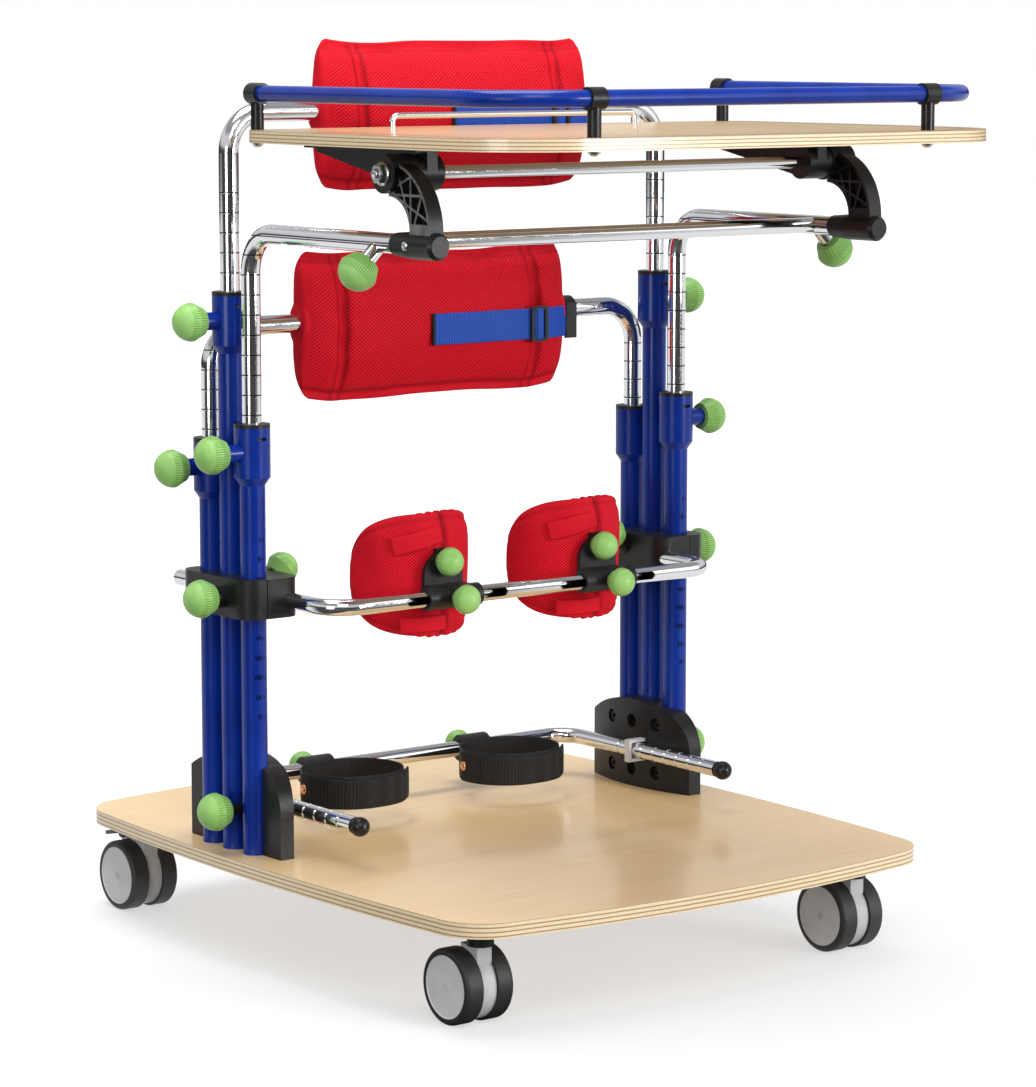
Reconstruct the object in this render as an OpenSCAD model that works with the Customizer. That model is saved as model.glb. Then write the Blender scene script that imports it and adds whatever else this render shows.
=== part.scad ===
// Standing frame on four twin-wheel casters, with a tray, two back pads, knee cups and heel straps.
// Millimetres. X is left to right, -Y is the tray side, Z is up, and the origin is on the floor.

/* [Base board] */
// Width of the plywood base across its bowed sides
board_w = 620; // [560:1:700]
// Depth of the plywood base, front to back
board_d = 750; // [700:1:800]
// Thickness of the base plywood
board_t = 15; // [12:0.5:20]
// How far the base's middle lies behind the origin
board_y = 38; // [0:1:80]
// Bow of the left and right edges
board_side_bow = 22; // [8:1:28]
// Bow of the front and back edges
board_end_bow = 31; // [12:1:40]
// Radius of the base's corners
board_corner_r = 52; // [30:1:90]

/* [Casters] */
// Distance of each caster's stem from the middle line
caster_x = 239; // [200:1:245]
// Distance of the front casters' stems ahead of the board's middle
caster_front = 294; // [240:1:310]
// Distance of the rear casters' stems behind the board's middle
caster_rear = 306; // [240:1:312]
// Diameter of the wheels
wheel_d = 75; // [65:1:80]
// Width of one wheel of a twin
wheel_w = 19; // [15:0.5:22]
// Gap between the two wheels of a twin
wheel_gap = 18; // [14:0.5:20]
// Distance of the axle behind the stem
caster_trail = 20; // [14:1:26]
// Height of the base board's underside above the floor
caster_h = 99; // [94:1:115]

/* [Uprights] */
// Distance of the rows of tubes from the middle line
tube_x = 275; // [268:1:281]
// Distance of the middle tubes behind the origin
tube_y = 114; // [100:1:130]
// Spacing of the three tubes of a row
tube_pitch = 37.5; // [37:0.5:42]
// Diameter of the fixed tubes
tube_d = 26; // [24:0.2:26.4]
// Bore of the fixed tubes
tube_bore = 21; // [20.8:0.1:22]
// Diameter of the collar at a tube's top
collar_d = 37; // [34:0.5:37.2]
// Height of a collar
collar_h = 50; // [42:1:60]
// Height of the taper under a collar
collar_taper = 8; // [4:1:14]
// Height of the tray tubes above the base
tray_tube_h = 438; // [400:1:480]
// Height of the dorsal tubes above the base
dorsal_tube_h = 568; // [530:1:620]
// Height of the pelvic tubes above the base
pelvic_tube_h = 418; // [400:1:440]
// Diameter of the chromed tubes that slide in the fixed ones
inner_d = 20; // [18:0.5:20]
// Length of a sliding tube that is kept inside the fixed one at rest
inner_stay = 210; // [190:1:300]

/* [Knobs] */
// Diameter of the large clamp knobs
knob_d = 39; // [34:1:44]
// Diameter of the small clamp knobs
small_knob_d = 30; // [26:1:32]
// Diameter of the knob on the inner side of a knee clamp
clamp_knob_d = 34; // [28:1:36]
// Number of finger grooves round a knob
knob_grooves = 24; // [12:1:30]
// Diameter of a knob's stud
stud_d = 8; // [6:0.5:8]
// Distance of a clamp knob's axis below the tube's top
knob_drop = 29; // [24:1:34]

/* [Foot blocks] */
// Length of a foot block along the row of tubes
block_len = 166; // [150:1:180]
// Height of a foot block above the base
block_h = 97; // [92:1:120]
// Depth of a foot block from the tubes' middle plane inwards
block_depth = 30; // [28:0.5:34]
// Depth of the bow on a block's inner face
block_bow = 14; // [6:1:18]
// Radius of the arch on a block's top
block_arch_r = 160; // [145:5:400]

/* [Heel bar] */
// Diameter of the heel bar
heel_d = 17; // [15:0.5:18]
// Height of the heel bar's axis above the base
heel_h = 44; // [42:1:52]
// Distance of the heel bar's rear run behind the middle tubes
heel_rear = 105; // [98:1:125]
// Distance of the heel bar's front ends ahead of the middle tubes
heel_front = 158; // [140:1:190]
// Bend radius of the heel bar
heel_bend_r = 32; // [24:1:40]
// Spacing of the notches along the heel bar
notch_pitch = 20; // [15:1:25]
// Distance of each foot strap from the middle line
strap_x = 104; // [96:1:112]
// Width of a foot strap's loop
loop_w = 116; // [108:1:140]
// Depth of a foot strap's loop
loop_d = 104; // [90:1:106]
// Height of the foot strap's webbing
loop_h = 35; // [30:1:42]
// Thickness of the foot strap
loop_t = 4; // [3:0.5:5]

/* [Knee support] */
// Height of the knee bar's axis above the base
knee_h = 259; // [250:1:280]
// Height of a knee clamp
clamp_h = 40; // [38:1:54]
// Length of a knee clamp along the row of tubes
clamp_len = 126; // [118:1:132]
// Reach of a knee clamp outside the tubes' middle plane
clamp_out = 25; // [20:0.5:27]
// Reach of a knee clamp inside the tubes' middle plane
clamp_in = 42; // [40:0.5:46]
// Diameter of the knee bar
knee_d = 17; // [15:0.5:18]
// Distance of the knee bar inside the tubes' middle plane
knee_inset = 29; // [27.5:0.5:29.5]
// Distance of the knee bar's front run ahead of the middle tubes
knee_front = 135; // [128:1:150]
// Distance of the knee bar's rear ends behind the middle tubes
knee_rear = 146; // [120:1:165]
// Bend radius of the knee bar
knee_bend_r = 34; // [26:1:40]
// Distance of each knee cup from the middle line
cup_x = 100; // [98:1:110]
// Outer radius of a knee cup
cup_r = 70; // [60:1:71]
// Thickness of a knee cup's padding
cup_t = 19; // [14:1:24]
// Height of a knee cup
cup_h = 126; // [116:1:140]

/* [Back pads] */
// Width of a back pad
pad_w = 342; // [310:1:360]
// Height of a back pad
pad_h = 155; // [140:1:158]
// Depth of a pad ahead of its arms
pad_front = 30; // [26:1:34]
// Depth of a pad behind its arms
pad_back = 20; // [16:1:24]
// Distance of a pad's upright seams from its middle
pad_seam_x = 125; // [115:1:140]
// Rise of the dorsal arms above their tubes' tops
dorsal_rise = 178; // [168:1:220]
// Rise of the pelvic arms above their tubes' tops
pelvic_rise = 110.5; // [106:0.5:116]
// Bend radius of the pad arms
arm_bend_r = 40; // [32:1:46]

/* [Tray] */
// Width of the tray
tray_w = 650; // [630:1:680]
// Distance of the tray's front edge ahead of the origin
tray_front = 413; // [400:1:430]
// Distance of the tray's rear edge behind the origin
tray_rear = 44; // [30:1:48]
// Thickness of the tray
tray_t = 12; // [10:0.5:15]
// Bow of the tray's sides
tray_side_bow = 10; // [5:1:16]
// Bow of the tray's front and rear edges
tray_end_bow = 10; // [5:1:16]
// Radius of the tray's front corners
tray_front_r = 104; // [80:1:120]
// Radius of the tray's rear corners
tray_rear_r = 38; // [20:1:50]
// Rise of the tray arms above their tubes' tops
tray_rise = 190; // [176:1:220]
// Height of the tilt axis above the tray arms
hinge_rise = 66; // [62:1:76]
// Height of the tray's underside above the tilt axis
tray_lift = 25; // [23:0.5:30]
// Distance of the tilt axis ahead of the origin
hinge_y = 173; // [165:1:178]
// Distance of the tray arms' front ends ahead of the origin
tray_arm_end = 176; // [170:1:180]
// Diameter of the tray arms' cross bar
cross_d = 16; // [12:0.5:18]
// Diameter of the rail round the tray
rail_d = 16; // [12:0.5:17]
// Height of the rail's axis above the tray
rail_h = 35; // [28:1:44]
// Distance of the rail inside the tray's edge
rail_inset = 28; // [24:1:36]

/* [Hidden] */
$fn = 64;

// Clearances, and the overrun of cuts
over = 1;
fit = 0.05;
gap = 0.3;
stud_gap = 0.1;

// Heights and rows that several pieces share
floor_top = caster_h + board_t;
tube_r = tube_d / 2;
inner_r = inner_d / 2;
collar_r = collar_d / 2;
stud_r = stud_d / 2;
tray_tube_y = tube_y - tube_pitch;
pelvic_tube_y = tube_y + tube_pitch;
tray_tube_top = floor_top + tray_tube_h;
dorsal_tube_top = floor_top + dorsal_tube_h;
pelvic_tube_top = floor_top + pelvic_tube_h;
between_y = tube_y - tube_pitch / 2;
dorsal_arm_z = dorsal_tube_top + dorsal_rise;
pelvic_arm_z = pelvic_tube_top + pelvic_rise;
tray_arm_z = tray_tube_top + tray_rise;
hinge_z = tray_arm_z + hinge_rise;
tray_z = hinge_z + tray_lift;
tray_top = tray_z + tray_t;

// Bushes in the collars
bush_r = 15;
bush_h = 44;
bush_lip = 4;
boss_r = 9;
boss_len = 34;
window_w = 11;
window_h = 3.2;
window_drop = 9;

// Knob proportions
knob_rear_share = 0.72;
knob_skirt_share = 0.6;
groove_share = 0.06;
groove_sink_share = 0.4;

// Casters
stem_r = 6;
stem_h = 10;
plate_w = 62;
plate_t = 3;
plate_r = 8;
collar_ring_r = 13;
axle_r = 4;
wheel_r = wheel_d / 2;
tread_round = 4.5;
disc_share = 0.84;
disc_sink = 1.5;
hood_share = 0.92;
pedal_w = 30;
pedal_t = 4;
pedal_len = 26;
pedal_pin_r = 2.5;
pedal_y = 34;
pedal_z = 80;
pedal_eye_r = 5;
pedal_ear = 4;
pedal_tilt = -12;

// Foot blocks and their screws
block_ring_gap = 0.15;
screw_head_r = 5.5;
screw_head_h = 5;
screw_r = 3;
screw_low_share = 0.2;
screw_high_share = 0.75;
sink_r = 7.5;
sink_floor = 11;
hex_r = 2.6;
hex_deep = 3;
guide_r = 5.4;
guide_len = 23;

// Heel bar
heel_gap = 0.6;
heel_x = tube_x - block_depth - heel_gap - heel_d / 2;
heel_r = heel_d / 2;
heel_z = floor_top + heel_h;
heel_cap_r = 10;
heel_cap_sink = 2;
notch_deep = 1;
notch_w = 3;
notch_count = 8;
notch_start = 20;
stirrup_w = 8;
stirrup_t = 3.5;
stirrup_leg = 10;
shoulder_r = 45;
shoulder_proud = 0.5;
carrier_w = 34;
carrier_wall = 6;
carrier_tongue = 7;
carrier_boss = 9;
loop_drop = 5;

// Knee support
knee_x = tube_x - knee_inset;
knee_r = knee_d / 2;
knee_wall = 2;
knee_z = floor_top + knee_h;
clamp_split = 1;
clamp_round = 18;
clamp_rise = 4;
knee_boss_r = 11;
knee_boss_len = 12;
knee_knob_tilt = 38;
knee_knob_len = 19;
bar_slot_in = 34;
bar_slot_out = 160;
sleeve_len = 66;
sleeve_wall = 3;
sleeve_boss_r = 9;
sleeve_boss_len = 4;
plate_gap_y = 1;
shield_t = 5;
shield_w = 48;
shield_base = 14;
shield_low = 6;
shield_tab_w = 19;
shield_tab = 28;
ledge_t = 6;
turn_rise = 35;
cup_edge_share = 0.45;
cup_end_share = 0.18;
cup_sweep = 174;
cup_rise = 20;
cup_steps = 24;
cup_rows = 10;

// Back pads
pad_drop = 6;
strap_drop = 12;
pad_edge = 4;
pad_end = 12;
pad_pinch_share = 0.012;
pad_channel = 4;
channel_w = 7;
pad_cols = 36;
pad_rows = 12;
arm_sunk = 55;
glide_w = 22;
glide_h = 38;
glide_t = 3;
glide_bar = 4;
hook_w = 14;
hook_wall = 4;

// Tray frame, hinge and rail
cross_y = -tray_arm_end + 28;
depth_boss_r = 8;
depth_boss_len = 24;
slide_bore_r = 8.1;
slide_rod_r = 8;
slide_len = 150;
sleeve_r = 13;
sleeve_front = 240;
sleeve_cone = 24;
sleeve_cone_share = 0.85;
cap_r = 10;
cap_t = 4;
arm_t = 16;
hub_r = 18.5;
hub_w = 30;
band_w = 32;
band_reach = 65;
rib_w = 2.4;
rib_count = 3;
pocket_wall = 3;
pocket_deep = 6;
rod_r = 6;
bracket_hub_r = 17;
bracket_hub_w = 30;
bracket_t = 12;
flange_w = 40;
flange_t = 5;
gusset_rear = 5;
gusset_foot = 9;
post_r = 6.5;
post_head_r = 10.5;
post_head_w = 18;
rail_bend_r = 82;
rail_rear_in = 16;
stop_r = 3;
stop_len = 320;
stop_in = 42;
stop_h = 12;

// Mirror copies for the left side
module both() {
    children();
    mirror([1, 0, 0]) children();
}
module on_side(s) {
    if (s < 0) mirror([1, 0, 0]) children();
    else children();
}

// Rod along X, Y or Z from one end
module rod_x(r, h) { rotate([0, 90, 0]) cylinder(r = r, h = h); }
module rod_y(r, h) { rotate([-90, 0, 0]) cylinder(r = r, h = h); }

// Plate in the XY plane with bowed edges and round corners
function bow_r(half, bow) = (half * half + bow * bow) / (2 * bow);
function corner_at(hw, hd, bs, be, r) =
    let (rs = bow_r(hd, bs), rf = bow_r(hw, be))
    let (a = hw - rs, b = hd - rf)
    let (d = sqrt(a * a + b * b), p = rs - r, q = rf - r)
    let (t = (p * p - q * q + d * d) / (2 * d), h = sqrt(p * p - t * t))
    [a - a / d * t - b / d * h * sign(a * b) * sign(-a), b / d * t + a / d * h * sign(-b) * sign(b) * sign(-a)];
function side_touch(hw, hd, bs, c, r) =
    let (rs = bow_r(hd, bs))
    [hw - rs + (c[0] - hw + rs) * rs / (rs - r), c[1] * rs / (rs - r)];
function end_touch(hw, hd, be, c, r) =
    let (rf = bow_r(hw, be))
    [c[0] * rf / (rf - r), hd - rf + (c[1] - hd + rf) * rf / (rf - r)];
module bowed_outline(w, d, bs, be, r_front, r_back) {
    hw = w / 2;
    hd = d / 2;
    cb = corner_at(hw, hd, bs, be, r_back);
    cf = corner_at(hw, hd, bs, be, r_front);
    sb = side_touch(hw, hd, bs, cb, r_back);
    sf = side_touch(hw, hd, bs, cf, r_front);
    eb = end_touch(hw, hd, be, cb, r_back);
    ef = end_touch(hw, hd, be, cf, r_front);
    rs = bow_r(hd, bs);
    rf = bow_r(hw, be);
    intersection() {
        translate([hw - rs, 0]) circle(r = rs, $fn = 256);
        translate([rs - hw, 0]) circle(r = rs, $fn = 256);
        translate([0, hd - rf]) circle(r = rf, $fn = 256);
        translate([0, rf - hd]) circle(r = rf, $fn = 256);
        polygon([[-eb[0], eb[1]], [-eb[0], hd + over], [eb[0], hd + over], eb,
            sb, [hw + over, sb[1]], [hw + over, -sf[1]], [sf[0], -sf[1]],
            [ef[0], -ef[1]], [ef[0], -hd - over], [-ef[0], -hd - over], [-ef[0], -ef[1]],
            [-sf[0], -sf[1]], [-hw - over, -sf[1]], [-hw - over, sb[1]], [-sb[0], sb[1]]]);
    }
    for (s = [-1, 1]) {
        translate([s * cb[0], cb[1]]) circle(r = r_back);
        translate([s * cf[0], -cf[1]]) circle(r = r_front);
    }
}

// Rectangle with round corners, centred
module round_rect(w, h, r) {
    square([w - 2 * r, h], center = true);
    square([w, h - 2 * r], center = true);
    for (sx = [-1, 1], sy = [-1, 1])
        translate([sx * (w / 2 - r), sy * (h / 2 - r)]) circle(r = r);
}

// Quarter bend of a round bar, from +X towards +Y about Z
module bend(path_r, r) {
    rotate_extrude(angle = 90) translate([path_r, 0]) circle(r = r);
}

// Clamp knob with its stud, standing on z = 0 with its dome upwards
module knob(d, stud) {
    r = d / 2;
    rear = r * knob_rear_share;
    skirt = r * knob_skirt_share;
    lean = atan((r - rear) / skirt);
    groove = d * groove_share / 2;
    difference() {
        union() {
            rotate_extrude() {
                polygon([[0, 0], [rear, 0], [r, skirt], [0, skirt]]);
                intersection() {
                    translate([0, skirt]) circle(r = r);
                    translate([0, skirt]) square([r, r]);
                }
            }
            translate([0, 0, -stud]) cylinder(r = stud_r, h = stud + over);
        }
        for (i = [0 : knob_grooves - 1])
            rotate([0, 0, i * 360 / knob_grooves])
                translate([rear + groove * groove_sink_share, 0, -over])
                    rotate([0, lean, 0]) cylinder(r = groove, h = skirt + over, $fn = 16);
    }
}

// Base
module base_board() {
    color("burlywood")
    translate([0, board_y, caster_h])
        linear_extrude(board_t)
            bowed_outline(board_w, board_d, board_side_bow, board_end_bow, board_corner_r, board_corner_r);
}

// Casters
module at_caster(sx, sy) {
    translate([sx * caster_x, board_y + (sy < 0 ? -caster_front : caster_rear), 0]) children();
}
module caster_plates() {
    color("dimgray")
    for (sx = [-1, 1], sy = [-1, 1])
        at_caster(sx, sy)
            translate([0, 0, caster_h - stem_h])
                difference() {
                    union() {
                        translate([0, 0, stem_h - plate_t])
                            linear_extrude(plate_t) round_rect(plate_w, plate_w, plate_r);
                        cylinder(r = collar_ring_r, h = stem_h);
                    }
                    translate([0, 0, -over]) cylinder(r = stem_r + fit, h = stem_h);
                }
}
module caster_fork(sx, sy) {
    hood_w = wheel_gap - 2 * gap;
    color("silver")
    at_caster(sx, sy) {
        translate([0, 0, caster_h - stem_h - gap - stem_h]) cylinder(r = collar_ring_r, h = stem_h);
        translate([0, 0, caster_h - stem_h - gap - over]) cylinder(r = stem_r, h = stem_h);
        translate([-hood_w / 2, caster_trail, wheel_r])
            rotate([90, 0, 90])
                linear_extrude(hood_w) {
                    circle(r = wheel_r * hood_share);
                    translate([-caster_trail - stem_r, 0])
                        square([caster_trail + stem_r, caster_h - 2 * stem_h - wheel_r]);
                    if (sy > 0) pedal_lug();
                }
        translate([-wheel_gap / 2 - wheel_w + over, caster_trail, wheel_r])
            rod_x(axle_r, wheel_gap + 2 * wheel_w - 2 * over);
    }
}
// Lug with the pedal's eye, above the wheels
module pedal_lug() {
    eye_z = pedal_z - wheel_r;
    translate([pedal_y - caster_trail, 0])
        difference() {
            union() {
                translate([-pedal_eye_r, 0]) square([2 * pedal_eye_r, eye_z]);
                translate([0, eye_z]) circle(r = pedal_eye_r);
            }
            translate([0, eye_z]) circle(r = pedal_pin_r + fit);
        }
}
module caster_wheels(sx, sy) {
    color("lightgray")
    at_caster(sx, sy)
        translate([0, caster_trail, wheel_r])
            both()
                translate([wheel_gap / 2, 0, 0])
                    rotate([0, 90, 0])
                        difference() {
                            rotate_extrude() wheel_profile();
                            translate([0, 0, -over]) cylinder(r = axle_r + fit, h = wheel_w);
                        }
}
// Half section of one wheel: rounded tread and sunk disc
module wheel_profile() {
    disc_r = wheel_r * disc_share;
    square([disc_r, wheel_w - disc_sink]);
    square([wheel_r - tread_round, wheel_w - disc_sink]);
    translate([disc_r, 0]) square([wheel_r - tread_round - disc_r, wheel_w]);
    square([wheel_r, wheel_w - tread_round]);
    translate([wheel_r - tread_round, wheel_w - tread_round]) circle(r = tread_round);
}
module brake_pedal(sx) {
    color("dimgray")
    at_caster(sx, 1)
        translate([0, pedal_y, pedal_z])
            rotate([pedal_tilt, 0, 0]) {
                both()
                    translate([wheel_gap / 2, 0, 0]) rod_x(pedal_eye_r, pedal_ear);
                translate([-wheel_gap / 2 - over, 0, 0]) rod_x(pedal_pin_r, wheel_gap + 2 * over);
                translate([0, pedal_eye_r + gap, 0])
                    linear_extrude(pedal_t)
                        translate([0, pedal_len / 2]) round_rect(pedal_w, pedal_len, pedal_t);
                both()
                    translate([wheel_gap / 2, 0, 0]) cube([pedal_ear, pedal_eye_r + over, pedal_t]);
            }
}

// Fixed tube with its collar, bush pocket, knob boss and scale window
module upright(y, top) {
    seat = top - bush_lip;
    foot = seat - collar_h - collar_taper;
    translate([tube_x, y, 0])
        difference() {
            union() {
                translate([0, 0, floor_top]) cylinder(r = tube_r, h = foot - floor_top + over);
                rotate_extrude()
                    polygon([[0, foot], [tube_r, foot], [collar_r, foot + collar_taper],
                        [collar_r, seat], [0, seat]]);
                translate([0, 0, top - knob_drop]) rod_x(boss_r, boss_len);
            }
            translate([0, 0, floor_top - over]) cylinder(r = tube_bore / 2, h = seat - floor_top + 2 * over);
            translate([0, 0, seat - bush_h]) cylinder(r = bush_r + fit, h = bush_h + over);
            translate([0, 0, top - knob_drop]) rod_x(stud_r + stud_gap, boss_len + over);
            translate([-window_w / 2, -collar_r - over, seat - window_drop - window_h])
                cube([window_w, collar_r, window_h]);
        }
}
module tray_uprights() { color("royalblue") both() upright(tray_tube_y, tray_tube_top); }
module dorsal_uprights() { color("royalblue") both() upright(tube_y, dorsal_tube_top); }
module pelvic_uprights() { color("royalblue") both() upright(pelvic_tube_y, pelvic_tube_top); }
module guide_bush(y, top) {
    translate([tube_x, y, 0])
        difference() {
            union() {
                translate([0, 0, top - bush_lip - bush_h]) cylinder(r = bush_r, h = bush_h + bush_lip);
                translate([0, 0, top - bush_lip]) cylinder(r = collar_r, h = bush_lip);
            }
            translate([0, 0, top - bush_lip - bush_h - over])
                cylinder(r = inner_r + fit, h = bush_h + bush_lip + 2 * over);
            translate([0, 0, top - knob_drop]) rod_x(stud_r + stud_gap, bush_r + over);
        }
}
module guide_bushes() {
    color("black")
    both() {
        guide_bush(tray_tube_y, tray_tube_top);
        guide_bush(tube_y, dorsal_tube_top);
        guide_bush(pelvic_tube_y, pelvic_tube_top);
    }
}

// Foot blocks: arched, bowed housings that hold the three tubes on the inside
// Side outline of a foot block: an arch with a rounded shoulder at the front
module block_side() {
    half = block_len / 2;
    arch_y = block_h - block_arch_r;
    shoulder_x = half + shoulder_proud - shoulder_r;
    reach = block_arch_r + shoulder_proud - shoulder_r;
    shoulder_y = arch_y + sqrt(reach * reach - shoulder_x * shoulder_x);
    touch_x = shoulder_x * block_arch_r / reach;
    translate([-half, 0]) square([block_len, shoulder_y - shoulder_r / 12]);
    translate([-shoulder_x, shoulder_y]) circle(r = shoulder_r);
    intersection() {
        translate([-touch_x, 0]) square([touch_x + half, block_h]);
        translate([0, arch_y]) circle(r = block_arch_r, $fn = 128);
    }
}
module foot_block() {
    inner_x = tube_x - block_depth;
    bow = bow_r(block_len / 2, block_bow);
    difference() {
        union() {
            intersection() {
                translate([inner_x, tube_y, floor_top])
                    rotate([90, 0, 90])
                        linear_extrude(block_depth) block_side();
                translate([inner_x + bow, tube_y, floor_top - over])
                    cylinder(r = bow, h = block_h + 2 * over, $fn = 128);
            }
            translate([tube_x - over, between_y, heel_z]) rod_x(guide_r, guide_len + over);
        }
        for (i = [-1 : 1])
            translate([tube_x, tube_y + i * tube_pitch, floor_top - over])
                cylinder(r = tube_r + block_ring_gap, h = block_h + 2 * over);
        for (i = [-1 : 1], h = [screw_low_share, screw_high_share])
            translate([inner_x - over, tube_y + i * tube_pitch, floor_top + block_h * h]) {
                rod_x(sink_r, sink_floor + over);
                rod_x(screw_r + stud_gap, block_depth + over);
            }
        translate([inner_x - over, between_y, heel_z])
            rod_x(stud_r + stud_gap, block_depth + guide_len + 2 * over);
        both_z(heel_z)
            translate([inner_x - over, between_y - stirrup_w / 2 - gap, heel_r + gap / 2])
                cube([stirrup_leg + over + gap, stirrup_w + 2 * gap, stirrup_t + gap]);
    }
}
// Copies above and below a level
module both_z(z) {
    translate([0, 0, z]) {
        children();
        mirror([0, 0, 1]) children();
    }
}
module foot_blocks() { color("#2b2c2e") both() foot_block(); }
module block_screws() {
    color("silver")
    both()
        for (i = [-1 : 1], h = [screw_low_share, screw_high_share])
            translate([tube_x - block_depth + sink_floor, tube_y + i * tube_pitch, floor_top + block_h * h])
                difference() {
                    union() {
                        translate([-screw_head_h, 0, 0]) rod_x(screw_head_r, screw_head_h);
                        rod_x(screw_r, block_depth - tube_r - sink_floor - gap);
                    }
                    translate([-screw_head_h - over, 0, 0])
                        rotate([0, 90, 0]) cylinder(r = hex_r, h = hex_deep + over, $fn = 6);
                }
}
// Stirrups that hold the heel bar's arms against the blocks
module bar_stirrups() {
    inner = heel_r + gap;
    color("silver")
    both()
        translate([heel_x, between_y + stirrup_w / 2, heel_z])
            rotate([90, 0, 0])
                linear_extrude(stirrup_w) {
                    translate([-inner - stirrup_t, -inner - stirrup_t])
                        square([stirrup_t, 2 * (inner + stirrup_t)]);
                    for (s = [-1, 1])
                        translate([-inner - over, s * (inner + stirrup_t / 2) - stirrup_t / 2])
                            square([inner + tube_x - block_depth - heel_x + stirrup_leg, stirrup_t]);
                }
}

// Heel bar: a U of chromed bar with ring notches along its arms
module heel_bar() {
    rear_y = tube_y + heel_rear;
    front_y = tube_y - heel_front;
    color("gainsboro")
    difference() {
        union() {
            translate([heel_bend_r - heel_x, rear_y, heel_z]) rod_x(heel_r, 2 * (heel_x - heel_bend_r));
            both() {
                translate([heel_x - heel_bend_r, rear_y - heel_bend_r, heel_z]) bend(heel_bend_r, heel_r);
                translate([heel_x, front_y, heel_z]) rod_y(heel_r, rear_y - heel_bend_r - front_y);
            }
        }
        both()
            for (i = [0 : notch_count - 1])
                translate([heel_x, front_y + notch_start + i * notch_pitch, heel_z])
                    rotate([-90, 0, 0])
                        difference() {
                            cylinder(r = heel_r + over, h = notch_w);
                            translate([0, 0, -over]) cylinder(r = heel_r - notch_deep, h = notch_w + 2 * over);
                        }
    }
}
module heel_bar_caps() {
    color("black")
    both()
        translate([heel_x, tube_y - heel_front, heel_z])
            rotate([90, 0, 0])
                rotate_extrude()
                    intersection() {
                        translate([0, heel_cap_r - heel_cap_sink]) circle(r = heel_cap_r);
                        square([heel_cap_r, 2 * heel_cap_r]);
                    }
}
// Clamp that carries a foot strap on the heel bar's rear run
module strap_carrier(s) {
    rear_y = tube_y + heel_rear;
    bar = heel_r + gap;
    color("#232426")
    on_side(s)
        translate([strap_x, rear_y, heel_z])
            difference() {
                union() {
                    translate([-carrier_w / 2, 0, 0]) rod_x(bar + carrier_wall, carrier_w);
                    translate([-carrier_w / 2, -bar - carrier_tongue, -bar])
                        cube([carrier_w, bar + carrier_tongue, 2 * bar]);
                    rod_y(carrier_boss, bar + carrier_wall + over);
                }
                translate([-carrier_w / 2 - over, 0, 0]) rod_x(bar, carrier_w + 2 * over);
                rod_y(stud_r + stud_gap, bar + carrier_wall + 2 * over);
            }
}
// Foot strap: a flat loop whose straight rear run lies on the carrier
module foot_strap(s) {
    back = tube_y + heel_rear - heel_r - gap - carrier_tongue - gap;
    color("#1d1d1f")
    on_side(s)
        translate([strap_x, back - loop_d / 2, heel_z - loop_drop - loop_h / 2])
            linear_extrude(loop_h)
                difference() {
                    stadium(loop_w, loop_d);
                    stadium(loop_w - 2 * loop_t, loop_d - 2 * loop_t);
                }
}
module stadium(w, d) {
    square([w - d, d], center = true);
    for (s = [-1, 1]) translate([s * (w - d) / 2, 0]) circle(d = d);
}

// Knee clamps: two moulded halves round the three tubes, with the bar's bore in the inner half
module clamp_plan(x0, x1) {
    difference() {
        translate([(x0 + x1) / 2, tube_y])
            round_rect(x1 - x0, clamp_len, clamp_round);
        for (i = [-1 : 1])
            translate([tube_x, tube_y + i * tube_pitch]) circle(r = tube_r + gap);
    }
}
module knee_clamp() {
    z0 = knee_z - clamp_h / 2 + clamp_rise;
    knob_z = knee_z + clamp_rise;
    difference() {
        union() {
            translate([0, 0, z0])
                linear_extrude(clamp_h) clamp_plan(tube_x - clamp_in, tube_x + clamp_out);
            translate([tube_x + clamp_out - over, between_y, knob_z])
                rod_x(knee_boss_r, knee_boss_len + over);
            knee_depth_axis() translate([0, 0, -over]) cylinder(r = boss_r, h = knee_knob_len + over);
        }
        translate([tube_x - clamp_split / 2, tube_y - clamp_len / 2 - over, z0 - over])
            cube([clamp_split, clamp_len + 2 * over, clamp_h + 2 * over]);
        translate([knee_x, tube_y - clamp_len / 2 - over, knee_z])
            rod_y(knee_r + stud_gap, clamp_len + 2 * over);
        translate([tube_x - clamp_split, between_y, knob_z])
            rod_x(stud_r + stud_gap, clamp_out + knee_boss_len + clamp_split + over);
        knee_depth_axis()
            translate([0, 0, -knee_r - over])
                cylinder(r = stud_r + stud_gap, h = knee_r + knee_knob_len + 2 * over);
    }
}
// Axis of the tilted knob on the clamp's inner side, from the knee bar's surface outwards
module knee_depth_axis() {
    translate([knee_x, tube_y, knee_z]) rotate([0, -90 + knee_knob_tilt, 0]) translate([0, 0, knee_r]) children();
}
module knee_clamps() { color("#2b2c2e") both() knee_clamp(); }

// Knee bar: a U of chromed tube with a long slot for each cup
module knee_bar() {
    front_y = tube_y - knee_front;
    slot_len = bar_slot_out - bar_slot_in;
    color("gainsboro")
    difference() {
        knee_bar_solid(knee_r, 0);
        knee_bar_solid(knee_r - knee_wall, over);
        both()
            translate([(bar_slot_in + bar_slot_out) / 2, front_y, knee_z])
                rotate([90, 0, 0]) linear_extrude(knee_d) stadium(slot_len, stud_d + gap);
    }
}
module knee_bar_solid(r, past) {
    front_y = tube_y - knee_front;
    translate([knee_bend_r - knee_x, front_y, knee_z]) rod_x(r, 2 * (knee_x - knee_bend_r));
    both() {
        translate([knee_x - knee_bend_r, front_y + knee_bend_r, knee_z])
            rotate([0, 0, -90]) bend(knee_bend_r, r);
        translate([knee_x, tube_y + knee_rear + past, knee_z])
            rotate([90, 0, 0]) cylinder(r = r, h = knee_front + knee_rear - knee_bend_r + past);
    }
}
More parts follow.
